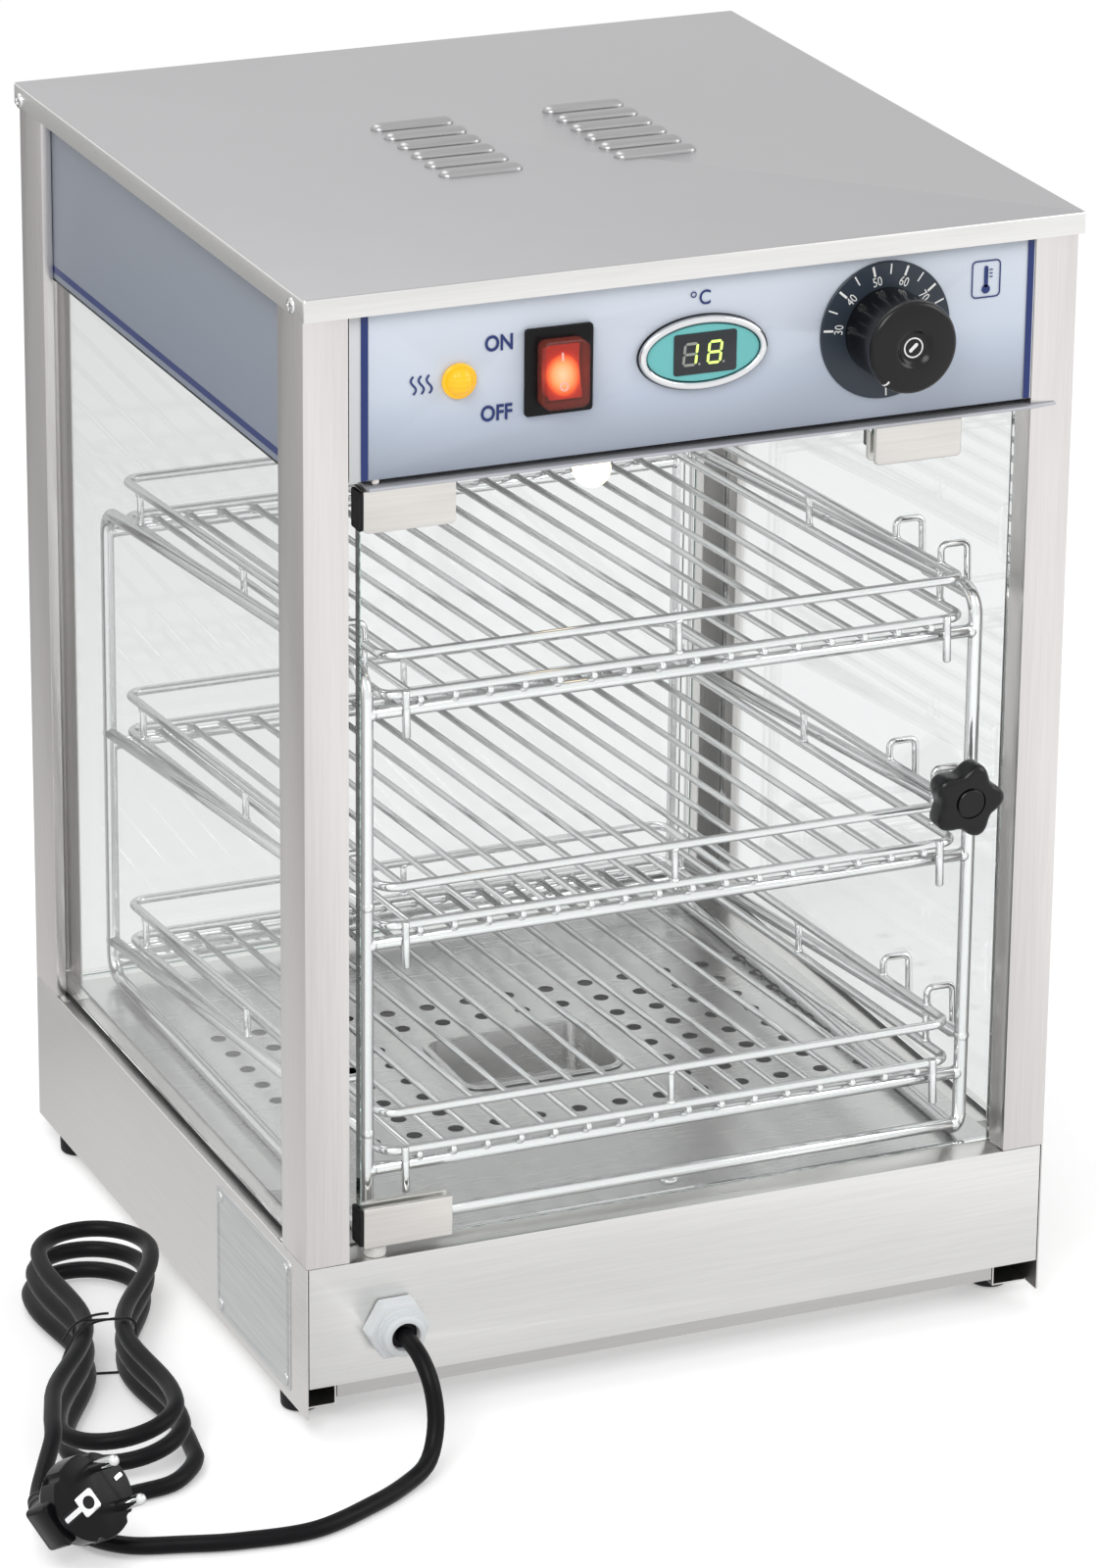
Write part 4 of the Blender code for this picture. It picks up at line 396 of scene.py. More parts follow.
def grainOf(tree, shader, group, bump, distance, **values):
    # a grain group on Object coordinates, with its height as the shader's bump
    grain = tree.nodes.new("ShaderNodeGroup")
    grain.node_tree = group
    tree.links.new(objectPlace(tree), grain.inputs["Place"])
    for label, value in values.items():
        grain.inputs[label].default_value = value
    normal = addNode(tree, "Bump", Height=grain.outputs["Height"], Strength=bump, Distance=distance)
    tree.links.new(normal.outputs["Normal"], shader.inputs["Normal"])
    return grain.outputs


def brushed(tree, shader, stretch, low, high, rough, bump):
    # brushing in the gloss and the normal; gives the brushing's tone
    grain = grainOf(tree, shader, brushGroup, bump, 0.0002, Stretch=stretch, Low=low, High=high)
    tree.links.new(ranged(tree, grain["Height"], rough), shader.inputs["Roughness"])
    return grain["Tone"]


def speckled(tree, shader, low, high, scale, bump, distance):
    # clouds in the gloss and pits in the normal
    grain = grainOf(tree, shader, speckleGroup, bump, distance, Scale=scale, Low=low, High=high)
    tree.links.new(grain["Rough"], shader.inputs["Roughness"])


def brushedSteel(name, colour, along, roughness, low=0.9, high=1.06, bump=0.06):
    # along is the brushing direction, "X", "Y" or "Z"
    material, shader = shaderOf(name, Metallic=1.0)
    tree = material.node_tree
    stretch = [900.0 if axis != along else 22.0 for axis in "XYZ"]
    tone = brushed(tree, shader, stretch, low, high, (roughness - 0.07, roughness + 0.09), bump)
    tree.links.new(worked(tree, "MULTIPLY", colour, tone, kind="VectorMath"), shader.inputs["Base Color"])
    return material


def moulded(name, colour, low, high, scale=1100.0, bump=0.05, **sockets):
    # plastic or rubber with fine pits and a cloudy gloss
    material, shader = shaderOf(name, Base_Color=(*colour, 1.0), **sockets)
    speckled(material.node_tree, shader, low, high, scale, bump, 0.0003)
    return material


def glowing(name, colour, glow, strength, roughness=0.2):
    # lit plastic with pits and a cloudy gloss
    material, shader = shaderOf(name, Base_Color=(*colour, 1.0), Roughness=roughness,
                                Emission_Color=(*glow, 1.0),
                                Emission_Strength=strength)
    speckled(material.node_tree, shader, roughness, roughness + 0.1, 700.0, 0.04, 0.0002)
    return material


def chromeWire(name, colour, roughness, dark=0.95):
    # bright plating, a little cloudy, with painted shade: its base colour darkens where it turns away from
    # the view, standing in for dark surroundings mirrored in it
    material, shader = shaderOf(name, Metallic=1.0)
    tree = material.node_tree
    speckled(tree, shader, roughness - 0.03, roughness + 0.05, 260.0, 0.03, 0.0002)
    facing = addNode(tree, "LayerWeight", Blend=0.42).outputs["Facing"]
    tone = rampOf(tree, facing, (0.0, colour), (dark * 0.47, [part * 0.8 for part in colour]),
                  (dark, [part * 0.22 for part in colour]))
    tree.links.new(tone, shader.inputs["Base Color"])
    return material


def clearGlass(name, colour):
    # clear pane that lets its light through to what stands behind it
    material, shader = shaderOf(name, Base_Color=(*colour, 1.0), Roughness=0.0, IOR=1.45,
                                Transmission_Weight=1.0)
    tree = material.node_tree
    clear = addNode(tree, "BsdfTransparent", Color=(*[0.9 + 0.1 * part for part in colour], 1.0))
    path = addNode(tree, "LightPath").outputs
    either = worked(tree, "MAXIMUM", path["Is Shadow Ray"], path["Is Diffuse Ray"])
    show(tree, mixed(tree, either, shader.outputs[0], clear.outputs[0]))
    return material


def tintedCover(name, colour):
    # soft see-through cover whose own tint thickens where it turns away
    material, shader = shaderOf(name, Base_Color=(*colour, 1.0), Roughness=0.10, Specular_IOR_Level=0.9)
    tree = material.node_tree
    clear = addNode(tree, "BsdfTransparent", Color=(1.0, 0.90, 0.88, 1.0))
    share = ranged(tree, addNode(tree, "LayerWeight", Blend=0.35).outputs["Facing"], (0.10, 0.80))
    show(tree, mixed(tree, share, clear.outputs[0], shader.outputs[0]))
    return material


# painted shade: the lid's top and its hoods are darker copies of the steel its skirt takes
lidTopShadedSteel = brushedSteel("lidTopShadedSteel", (0.445, 0.44, 0.45), "X", 0.42, 0.97, 1.02)
hoodShadedSteel = brushedSteel("hoodShadedSteel", (0.40, 0.395, 0.40), "X", 0.3)
frontSteel = brushedSteel("frontSteel", (0.80, 0.795, 0.78), "X", 0.30, 0.95, 1.03)
postSteel = brushedSteel("postSteel", (0.755, 0.73, 0.72), "Z", 0.30, 0.94, 1.03, 0.05)
sideSteel = brushedSteel("sideSteel", (0.76, 0.745, 0.73), "Y", 0.34, 0.95, 1.03)
innerSteel = brushedSteel("innerSteel", (0.585, 0.58, 0.575), "X", 0.24, 0.975, 1.015, 0.012)
# painted shade for the faces round the space under the floor, put on them below
cavityShadeSteel = brushedSteel("cavityShadeSteel", (0.16, 0.155, 0.15), "X", 0.5)
traySteel = brushedSteel("traySteel", (0.58, 0.57, 0.565), "X", 0.34, 0.96, 1.03)
ledgeSteel = moulded("ledgeSteel", (0.50, 0.51, 0.55), 0.34, 0.44, 600.0, 0.02, Metallic=0.4)
clampSteel = brushedSteel("clampSteel", (0.74, 0.72, 0.69), "X", 0.3, 0.92, 1.04)
plateMetal = brushedSteel("plateMetal", (0.66, 0.665, 0.67), "Y", 0.36, 0.86, 1.08, 0.08)
plating = chromeWire("plating", (0.90, 0.905, 0.91), 0.10, 0.78)
brightTrim = chromeWire("brightTrim", (0.80, 0.81, 0.83), 0.07, 0.62)
heaterSheath = chromeWire("heaterSheath", (0.30, 0.29, 0.28), 0.35)
paneGlass = clearGlass("paneGlass", (0.98, 0.994, 0.991))
paneEdge = clearGlass("paneEdge", (0.30, 0.52, 0.44))
coverPlastic = tintedCover("coverPlastic", (0.34, 0.075, 0.055))
sealRubber = moulded("sealRubber", (0.012, 0.012, 0.014), 0.5, 0.65, Specular_IOR_Level=0.2)
cordRubber = moulded("cordRubber", (0.004, 0.004, 0.005), 0.34, 0.46, 700.0, 0.05, Specular_IOR_Level=0.13)
blackPlastic = moulded("blackPlastic", (0.005, 0.005, 0.006), 0.22, 0.32, 1300.0, 0.05,
                       Specular_IOR_Level=0.18)
dullPlastic = moulded("dullPlastic", (0.009, 0.009, 0.010), 0.42, 0.52, Specular_IOR_Level=0.2)
knobPlastic = moulded("knobPlastic", (0.004, 0.004, 0.005), 0.16, 0.24, 1200.0, 0.02,
                      Specular_IOR_Level=0.34)
glandPlastic = moulded("glandPlastic", (0.70, 0.715, 0.725), 0.36, 0.46, 900.0, 0.04,
                       Subsurface_Weight=0.05)
bushPlastic = moulded("bushPlastic", (0.72, 0.71, 0.68), 0.35, 0.5)
ceramicGlaze = moulded("ceramicGlaze", (0.80, 0.78, 0.74), 0.3, 0.42)
printBlue = moulded("printBlue", (0.0060, 0.024, 0.150), 0.32, 0.4)
markWhite = moulded("markWhite", (0.88, 0.88, 0.87), 0.35, 0.45)
dialBlack = moulded("dialBlack", (0.030, 0.040, 0.056), 0.28, 0.38, Specular_IOR_Level=0.35)
tealFace = moulded("tealFace", (0.150, 0.51, 0.51), 0.24, 0.34, 800.0, 0.03)
darkWindow = moulded("darkWindow", (0.012, 0.016, 0.020), 0.10, 0.16, 600.0, 0.01)
digitGrey = moulded("digitGrey", (0.30, 0.32, 0.29), 0.3, 0.4)
digitGlow = glowing("digitGlow", (0.55, 0.75, 0.16), (0.66, 1.0, 0.20), 0.72)
amberLens = glowing("amberLens", (0.88, 0.47, 0.008), (1.0, 0.52, 0.008), 0.24)
litWhite = glowing("litWhite", (0.86, 0.84, 0.82), (1.0, 0.92, 0.88), 0.4)
lampGlass = glowing("lampGlass", (1.0, 0.85, 0.62), (1.0, 0.80, 0.50), 2.2, 0.1)
print("materials made")


# Studio

studio = {"floorHalf": 6.0, "floorDrop": 0.0002, "floorTone": 0.86, "floorGlow": 0.30, "fill": 0.62,
          "mirrored": (0.44, 1.13), "towards": (0.45, -0.89), "reach": (-1.1, 0.9), "fade": (0.9, 2.2),
          "paneShare": -0.55, "aim": (0, 0, 0.25),
          "lamps": {"keyLamp": ((-1.5, -1.7, 2.3), 1.5, 34.0), "rightLamp": ((2.1, -1.2, 1.5), 1.4, 16.0),
                    "rearLamp": ((-0.6, 1.3, 2.9), 1.6, 14.0)}}


def rayShare(tree):
    # 1 where the camera, a mirror or a pane looks, 0 where light falls
    path = addNode(tree, "LightPath").outputs
    first = worked(tree, "MAXIMUM", path["Is Camera Ray"], path["Is Glossy Ray"])
    return worked(tree, "MAXIMUM", first, path["Is Transmission Ray"])


def floorPaper():
    tone = studio["floorTone"]
    material, shader = shaderOf("floorPaper", Base_Color=(tone, tone, tone, 1.0), Roughness=0.9,
                                Specular_IOR_Level=0.0, Emission_Color=(1, 1, 1, 1))
    tree = material.node_tree
    glow = worked(tree, "MULTIPLY", rayShare(tree), studio["floorGlow"])
    tree.links.new(glow, shader.inputs["Emission Strength"])
    # the sheets mirror a floor that falls off softly from the lit front right to the rear left
    place = objectPlace(tree)
    across = addNode(tree, "VectorMath", place, (*studio["towards"], 0.0),
                     operation="DOT_PRODUCT").outputs["Value"]
    plain = addNode(tree, "Emission", Strength=ranged(tree, across, studio["mirrored"], studio["reach"]))
    path = addNode(tree, "LightPath").outputs
    # a ray through a pane gets about half of each
    share = worked(tree, "MULTIPLY_ADD", path["Is Transmission Ray"], studio["paneShare"], 1.0)
    weight = worked(tree, "MULTIPLY", path["Is Glossy Ray"], share)
    either = mixed(tree, weight, shader.outputs[0], plain.outputs[0])
    # seen straight from the camera, the paper runs out into the white around it
    distance = addNode(tree, "VectorMath", place, operation="LENGTH").outputs["Value"]
    fade = ranged(tree, distance, (0.0, 1.0), studio["fade"], interpolation_type="SMOOTHSTEP")
    seen = worked(tree, "MULTIPLY", path["Is Camera Ray"], fade)
    show(tree, mixed(tree, seen, either, addNode(tree, "Emission").outputs[0]))
    return material


def makeStudio():
    scene = bpy.context.scene
    scene.view_settings.view_transform = "Standard"
    scene.world = bpy.data.worlds.new("studioWorld")
    scene.world.use_nodes = True
    tree = scene.world.node_tree
    background = tree.nodes["Background"]
    background.inputs["Color"].default_value = (1, 1, 1, 1)
    tree.links.new(ranged(tree, rayShare(tree), (studio["fill"], 1.0)), background.inputs["Strength"])

    half, drop = studio["floorHalf"], studio["floorDrop"]
    mesh = bpy.data.meshes.new("studioFloor")
    mesh.from_pydata([(*corner, -drop) for corner in cornersOf((-half, -half), (half, half)).tolist()], [],
                     [(0, 1, 2, 3)])
    mesh.materials.append(floorPaper())
    linked("studioFloor", mesh)

    for name, (place, size, power) in studio["lamps"].items():
        data = bpy.data.lights.new(name, "AREA")
        data.shape = "SQUARE"
        data.size = size
        data.energy = power
        lamp = linked(name, data)
        lamp.location = place
        lamp.rotation_euler = (Vector(studio["aim"]) - Vector(place)).to_track_quat("-Z", "Y").to_euler()


makeStudio()
print("studio made")


# Mains cord

cord = {"radius": 0.00365, "step": 0.0035, "sides": 16, "inlet": 0.011,
        "route": [(-0.1315, -0.1786, 0.04550), (-0.1315, -0.1870, 0.04530), (-0.1305, -0.1970, 0.04250),
                  (-0.1295, -0.2060, 0.03500), (-0.1295, -0.2120, 0.02400), (-0.1320, -0.2170, 0.01400),
                  (-0.1380, -0.2235, 0.00650), (-0.1490, -0.2310, 0.00390), (-0.1680, -0.2425, 0.00365),
                  (-0.1990, -0.2550, 0.00365), (-0.2300, -0.2530, 0.00365), (-0.2530, -0.2470, 0.00365),
                  (-0.2740, -0.2395, 0.00365), (-0.2862, -0.2250, 0.00365), (-0.2840, -0.2085, 0.00365),
                  (-0.2710, -0.1990, 0.00365), (-0.2545, -0.1978, 0.00365), (-0.2389, -0.1955, 0.00380),
                  (-0.2281, -0.1873, 0.00450)],
        "tail": [(-0.2810, -0.1690, 0.02030), (-0.2900, -0.1850, 0.01600), (-0.2985, -0.2010, 0.01180)]}
hank = {"x": -0.2280, "y": -0.0830, "turn": math.radians(14.5), "spread": math.radians(5), "slide": 0.010,
        "run": 0.073, "round": 0.0245, "waist": 0.0165, "turns": 2.75, "low": 0.00515, "layer": 0.0080,
        "runShare": 0.25, "perTurn": 96}
plugAt = {"place": (-0.2994, -0.2283, 0.0196), "yaw": math.radians(-73.53), "pitch": math.radians(-31.17),
          "roll": math.radians(-161)}


def plugMatrix():
    turn = Matrix.Rotation(plugAt["yaw"], 4, "Z") @ Matrix.Rotation(plugAt["pitch"], 4, "Y")
    return np.array(Matrix.Translation(plugAt["place"]) @ turn @ Matrix.Rotation(plugAt["roll"], 4, "X"))


def lengthAlong(line):
    return np.concatenate([[0], np.cumsum(np.linalg.norm(np.diff(line, axis=0), axis=1))])


def readOff(line, stations):
    along = lengthAlong(line)
    return np.stack([np.interp(stations, along, line[:, k]) for k in range(3)], 1)


def smoothRoute(points, step):
    # each point of a stretch is a cubic of its two ends and their outer neighbours, read off at
    # even steps
    p = np.asarray(points, float)
    t = np.linspace(0, 1, 40, endpoint=False)[None, :, None]
    before, start, end, after = (q[:, None] for q in (p[:-3], p[1:-2], p[2:-1], p[3:]))
    dense = start + ((end - before) * t + (2 * before - 5 * start + 4 * end - after) * t ** 2
                     + (3 * start - 3 * end + after - before) * t ** 3) / 2
    dense = np.concatenate([dense.reshape(-1, 3), p[-2:-1]])
    length = lengthAlong(dense)[-1]
    return readOff(dense, np.linspace(0, length, max(2, round(length / step)) + 1))


def hankPlace(turn, along, across, z):
    # the later turns lie swung and slid a little past the first
    share = turn / hank["turns"] - 0.5
    angle = hank["turn"] + hank["spread"] * share
    along = along + hank["slide"] * share
    x = hank["x"] + along * np.sin(angle) - across * np.cos(angle)
    y = hank["y"] + along * np.cos(angle) + across * np.sin(angle)
    return np.stack(np.broadcast_arrays(x, y, z), -1)


def hankLine():
    # two waisted runs and two half circles a turn, the last half circle climbing one layer by a
    # smooth step
    turn = np.linspace(0, hank["turns"], round(hank["turns"] * hank["perTurn"]) + 1)
    climb = np.maximum((turn % 1 - 0.5 - hank["runShare"]) / (0.5 - hank["runShare"]), 0)
    z = hank["low"] + hank["layer"] * (turn // 1 + (3 - 2 * climb) * climb ** 2)
    side = np.where(turn % 1 < 0.5, 1.0, -1.0)
    part = turn % 0.5
    run = part < hank["runShare"]
    along = side * hank["run"] * (2 * part / hank["runShare"] - 1)
    waist = hank["waist"] * (1 + np.cos(np.pi * along / hank["run"])) / 2
    angle = np.pi * (part - hank["runShare"]) / (0.5 - hank["runShare"])
    a = np.where(run, along, side * (hank["run"] + hank["round"] * np.sin(angle)))
    b = np.where(run, side * (waist - hank["round"]), -side * hank["round"] * np.cos(angle))
    return hankPlace(turn, a, b, z)


def cordLine():
    # route from the gland, loops, and tail into the plug, without doubled places
    loops = hankLine()
    lead = 2 * cord["radius"]
    inward = (loops[1] - loops[0]) / np.linalg.norm(loops[1] - loops[0])
    outward = (loops[-1] - loops[-2]) / np.linalg.norm(loops[-1] - loops[-2])
    start, end = loops[0] - inward * lead, loops[-1] + outward * lead
    turn = plugMatrix()
    inlet = turn[:3, 3]
    before = inlet - turn[:3, 0] * cord["inlet"]
    first = smoothRoute(cord["route"] + [start - inward * lead, start], cord["step"])
    tail = smoothRoute([end, end + outward * lead, *cord["tail"], before, inlet], cord["step"])
    line = np.concatenate([[cord["route"][0]], first, [start], loops, [end], tail, [inlet]])
    return line[np.concatenate([[True], np.linalg.norm(np.diff(line, axis=0), axis=1) > 1e-5])]


cordPath = cordLine()
mainsCord = putMesh("mainsCord", tube(cordPath, cord["radius"], cord["sides"]), cordRubber, "power_cord",
                    "cord_bundle", "cord_tail", sharp=60)
mainsCord.visible_glossy = False


# Plug, sleeve and tie on the cord

plugForm = {"face": 0.028, "centre": -0.001, "shrink": 0.973, "notchDepth": 0.0013,
            "notches": (62, 118, 242, 298),
            "rows": ((0.0080, 0.0132, 0), (0.0086, 0.0147, 0), (0.0153, 0.0181, 0), (0.0163, 0.0185, 0),
                     (0.0166, 0.0185, 1), (0.0272, 0.0185, 1), (0.0278, 0.0181, 1), (0.0280, 0.0175, 1)),
            "gripStart": 0.002, "gripEnd": 0.019, "gripHalf": 0.0097, "pinLine": -0.008,
            "pinRadius": 0.0024,
            "pinLength": 0.019, "pinSpacing": 0.019, "socket": 0.0031, "collar": 0.0046,
            "stripHalf": 0.0011}
sleeve = {"length": 0.026, "wide": 0.0062, "narrow": 0.0045, "ribs": 4, "ribDepth": 0.00035}
tie = {"radius": 0.0006, "half": 0.01315, "rise": 0.0257, "bend": 0.004,
       "ends": (((-0.001, -0.010, 0.0267), (-0.002, -0.004, 0.0269), (-0.005, 0.005, 0.0269),
                 (-0.010, 0.0135, 0.0240), (-0.018, 0.0200, 0.0145), (-0.027, 0.0235, 0.0055),
                 (-0.036, 0.0235, 0.0010), (-0.045, 0.0185, 0.0008), (-0.050, 0.0120, 0.0008)),
                ((0.002, -0.008, 0.0269), (0.003, -0.002, 0.0271), (0.001, 0.006, 0.0271),
                 (-0.006, 0.0140, 0.0262), (-0.013, 0.0190, 0.0225), (-0.018, 0.0215, 0.0190)))}


def plugShell():
    # circle stacked along the pins' direction; the notches are narrow bells taken off its radius
    # near the face
    angle = np.linspace(0, 2 * np.pi, 144, endpoint=False)
    away = np.abs((angle[:, None] - np.radians(plugForm["notches"])[None] + np.pi) % (2 * np.pi) - np.pi)
    notch = np.exp(-(away / 0.10) ** 4).sum(axis=1)
    station, radius, depth = np.array(plugForm["rows"]).T
    reach = radius[:, None] * plugForm["shrink"] - plugForm["notchDepth"] * notch * depth[:, None]
    return stackOutlines(reach[..., None] * unitCircle(144) + (plugForm["centre"], 0), "X", station)


def plugGrip():
    wedge = cornersOf((plugForm["gripStart"], -plugForm["gripHalf"]),
                      (plugForm["gripEnd"], plugForm["gripHalf"]))
    wedge = arcCorners(np.column_stack([wedge, np.zeros(4)]), 0.0022, 6, closed=True)[:, :2]
    slim = wedge.mean(axis=0) + (wedge - wedge.mean(axis=0)) * 0.93
    return stackOutlines([slim, wedge, wedge, slim], "X", (0.0084, 0.0094, 0.0226, 0.0238))


def plugPin(side):
    r, start = plugForm["pinRadius"], plugForm["face"] - 0.001
    tip = plugForm["face"] + plugForm["pinLength"]
    profile = [(0, start), (r, start), (r, tip - r), (r * 0.92, tip - r * 0.6), (r * 0.7, tip - r * 0.27),
               (r * 0.38, tip - r * 0.07), (0, tip)]
    return lathe(profile, "X", (0, plugForm["pinLine"], side * plugForm["pinSpacing"] / 2), 28)


def flatBar(low, high, half, rise, corner=0.0005):
    # thin bar across the plug's face, from low to high above the socket's middle
    low, high = plugForm["socket"] + low, plugForm["socket"] + high
    outline = roundedOutline((high - low) / 2, half, corner, 3)
    face = plugForm["face"]
    return slab(outline, "X", face - 0.0004, face + rise, (0, (low + high) / 2, 0))


def makePlug():
    face, middle = plugForm["face"], (0, plugForm["socket"], 0)
    collar = roundedOutline(plugForm["collar"], plugForm["collar"], 0.0013, 4)
    cup = stackOutlines([collar, collar, collar * 0.93], "X",
                        (face - 0.0005, face + 0.0006, face + 0.0009), middle)
    hole = lathe([(0, face), (0.0027, face), (0.0027, face + 0.00096), (0, face + 0.00096)], "X", middle,
                 28)
    strip = flatBar(0.0040, 0.0132, plugForm["stripHalf"], 0.0006)
    parts = {"plugShell": (blackPlastic, ("plug",), [plugShell(), plugGrip()]),
             "plugMetal": (plating, (), [plugPin(-1), plugPin(1), cup, strip,
                                         flatBar(-0.0200, -0.0160, 0.0009, 0.0005)]),
             "plugSlots": (sealRubber, (), [hole, flatBar(0.0036, 0.0136, 0.0021, 0.00012, 0.0012)])}
    turn = plugMatrix()
    return [putMesh(name, [moved(surface, turn) for surface in surfaces], material, *replaced, sharp=32)
            for name, (material, replaced, surfaces) in parts.items()]


def makeSleeve():
    # cord radius grown towards the plug, less a shallow ring wherever a cosine along the sleeve is low
    station = np.linspace(0, sleeve["length"], 60)
    share = station / sleeve["length"]
    radius = sleeve["wide"] + (sleeve["narrow"] - sleeve["wide"]) * share
    radius -= sleeve["ribDepth"] * (np.cos(2 * np.pi * sleeve["ribs"] * share) < -0.3)
    return putMesh("cordSleeve", tube(readOff(cordPath[::-1], station), radius, 24), dullPlastic, sharp=30)


def makeTie():
    half, low, high = tie["half"], tie["radius"], tie["rise"]
    middle = hank["turns"] / 2
    corners = [hankPlace(middle, 0, across, z) for across, z in cornersOf((-half, low), (half, high))]
    wires = [tube(arcCorners(corners, tie["bend"], 8, closed=True), tie["radius"], 8, closed=True)]
    for places in tie["ends"]:
        wires.append(tube(smoothRoute([hankPlace(middle, *place) for place in places], 0.0012),
                          tie["radius"], 8))
    return putMesh("cordTie", wires, dullPlastic, "cable_tie", sharp=60)


cordPieces = [*makePlug(), makeSleeve(), makeTie()]
print("plug, sleeve and tie made")


# Sheet parts with eased edges

sheetEdges = {
    "basePanelFront": ("base_front", 0.00025, frontSteel), "basePanelBack": ("base_back", 0.00025,
                                                                             frontSteel),
    "basePanelLeft": ("base_side_left", 0.00025, sideSteel),
    "basePanelRight": ("base_side_right", 0.00025, sideSteel),
    "bottomTray": ("bottom_tray", 0.00025, traySteel), "waterPan": ("water_pan", 0.0003, innerSteel),
    "postFrontLeft": ("post_front_left", 0.00025, postSteel),
    "postFrontRight": ("post_front_right", 0.00025, postSteel),
    "postRearLeft": ("post_rear_left", 0.00025, postSteel),
    "postRearRight": ("post_rear_right", 0.00025, postSteel),
    "headerLeft": ("header_left", 0.0002, None), "headerRight": ("header_right", 0.0002, None),
    "headerBack": ("header_back", 0.0002, sideSteel), "ceilingPlate": ("ceiling_plate", 0.00025,
                                                                       innerSteel),
    "doorLedge": ("ledge_strip", 0.0003, ledgeSteel), "catchClip": ("catch_plate", 0.0007, clampSteel),
    "clampLower": ("hinge_clamp_lower", 0.0006, clampSteel),
    "clampUpper": ("hinge_clamp_upper", 0.0006, clampSteel),
    "magnetHousing": ("magnet_catch", 0.0006, dullPlastic), "switchFrame": ("switch_frame", 0.0005,
                                                                            blackPlastic),
    "splashCap": ("splash_cover", 0.0005, coverPlastic), "heaterBracket": ("heater_bracket", 0.0003,
                                                                           innerSteel),
    "terminalBlock": ("terminal_block", 0.0005, ceramicGlaze),
    "thermostatCase": ("thermostat_body", 0.0006, innerSteel),
    "sealLeft": ("glass_seal_left", 0.0002, sealRubber), "sealRight": ("glass_seal_right", 0.0002,
                                                                       sealRubber),
}
sheets = {name: softened(name, *row) for name, row in sheetEdges.items()}
# painted shade: the faces turned to the space under the floor take a dark steel that stands in for the
# shadow in that space: axis and the way in
paintedShadeFaces = {"basePanelFront": (1, 1), "basePanelBack": (1, -1), "basePanelLeft": (0, 1),
          "basePanelRight": (0, -1),
          "bottomTray": (2, 1)}
for name, (axis, inward) in paintedShadeFaces.items():
    secondMaterial(sheets[name], cavityShadeSteel, lambda normal: normal[axis] * inward > 0.7)
print("sheet parts made", len(sheets))


# Lid: folded sheet with eased edges and pressed hoods, open to the back; painted shade: its top and hoods
# take darker copies of the skirt's steel, and a dark sheet lies in each mouth

louvre = {"length": 0.0375, "width": 0.0048, "rise": 0.0028, "pitch": 0.0152, "rows": 6, "groups": 2,
          "apart": 0.0791, "centre": (0.0027, 0.0033), "end": 0.0042, "thin": 0.17}
lidForm = {"half": (0.1712, 0.1741), "top": 0.4945, "skirt": 0.0093, "sheet": 0.0008, "ease": 0.0009,
           "corner": 0.0012}


def louvreStarts():
    # places of the closed front edges, row by row
    rows, groups = (np.arange(louvre[key]) - (louvre[key] - 1) / 2 for key in ("rows", "groups"))
    x, y = np.meshgrid(louvre["centre"][0] + groups * louvre["apart"],
                       louvre["centre"][1] + rows * louvre["pitch"])
    return np.stack([x.ravel(), y.ravel()], -1)


def hoodShell(start):
    # sections of an outer and an inner quarter arch from the closed edge up to the mouth; their
    # size follows
    # the square root of a circle near both ends
    length, end = louvre["length"], louvre["end"]
    stop = np.linspace(0, 1, 10)[:-1] ** 2 * end
    t = np.concatenate([stop, np.linspace(end, length - end, 14), length - stop[::-1]])
    near = np.clip(np.minimum(t, length - t) / end, 0, 1)
    grow = np.sqrt(np.clip(1 - (1 - near) ** 2, 0.0004, 1))[:, None]
    thin = np.clip(grow - louvre["thin"], grow * 0.3, None)
    turn = np.linspace(0, np.pi / 2, 11)[None]
    outer, inner = (np.stack([start[1] + louvre["width"] * (1 - size * np.cos(turn)),
                              lidForm["top"] + louvre["rise"] * size * np.sin(turn)],
                              -1) for size in (grow, thin))
    return stackOutlines(np.concatenate([outer, inner[:, ::-1]], axis=1), "X", start[0] - length / 2 + t)


def makeLid():
    half, top, sheet, ease = lidForm["half"], lidForm["top"], lidForm["sheet"], lidForm["ease"]
    foot = top - lidForm["skirt"]
    rows = ((sheet, top - sheet), (sheet, foot), (0, foot), (0, top - ease),
            (ease * 0.3, top - ease * 0.3),
            (ease, top))
    outlines = [roundedOutline(half[0] - inset, half[1] - inset, max(lidForm["corner"] - inset, 0.0002), 4)
                for inset, _ in rows]
    lid = putMesh("lidSheet", stackOutlines(outlines, "Z", [z for _, z in rows]), lidTopShadedSteel, "lid",
                  sharp=50)
    # painted shade: the top keeps the darker copy of the steel, the skirt's faces take the front steel
    secondMaterial(lid, frontSteel, lambda normal: normal.z < 0.5)
    starts = louvreStarts()
    length, width = louvre["length"] * 0.46, louvre["width"]
    # painted shade: a dark sheet under each hood's mouth stands in for the shadow in an opening the closed
    # top doesn't have
    slotShadeSheets = [boxShape((x - length, y + width * 0.25, top - 0.0002),
                      (x + length, y + width + 0.0001, top + 0.00006))
             for x, y in starts]
    putMesh("lidHoods", [hoodShell(start) for start in starts], hoodShadedSteel, sharp=50)
    putMesh("lidSlotShade", slotShadeSheets, sealRubber, sharp=50)


makeLid()
print("lid made")


# Glass panes: clear faces with green edges

panes = {"paneLeft": ("side_glass_left", 0), "paneRight": ("side_glass_right", 0),
         "paneBack": ("back_glass", 1),
         "doorPane": ("door_glass", 1)}
for name, (node, across) in panes.items():
    pane = softened(name, node, 0.0003, paneGlass, 1)
    pane.data.shade_flat()
    pane.modifiers["edges"].harden_normals = False
    secondMaterial(pane, paneEdge, lambda normal: abs(normal[across]) < 0.5)
print("panes made")


# Floor plate with its round air holes

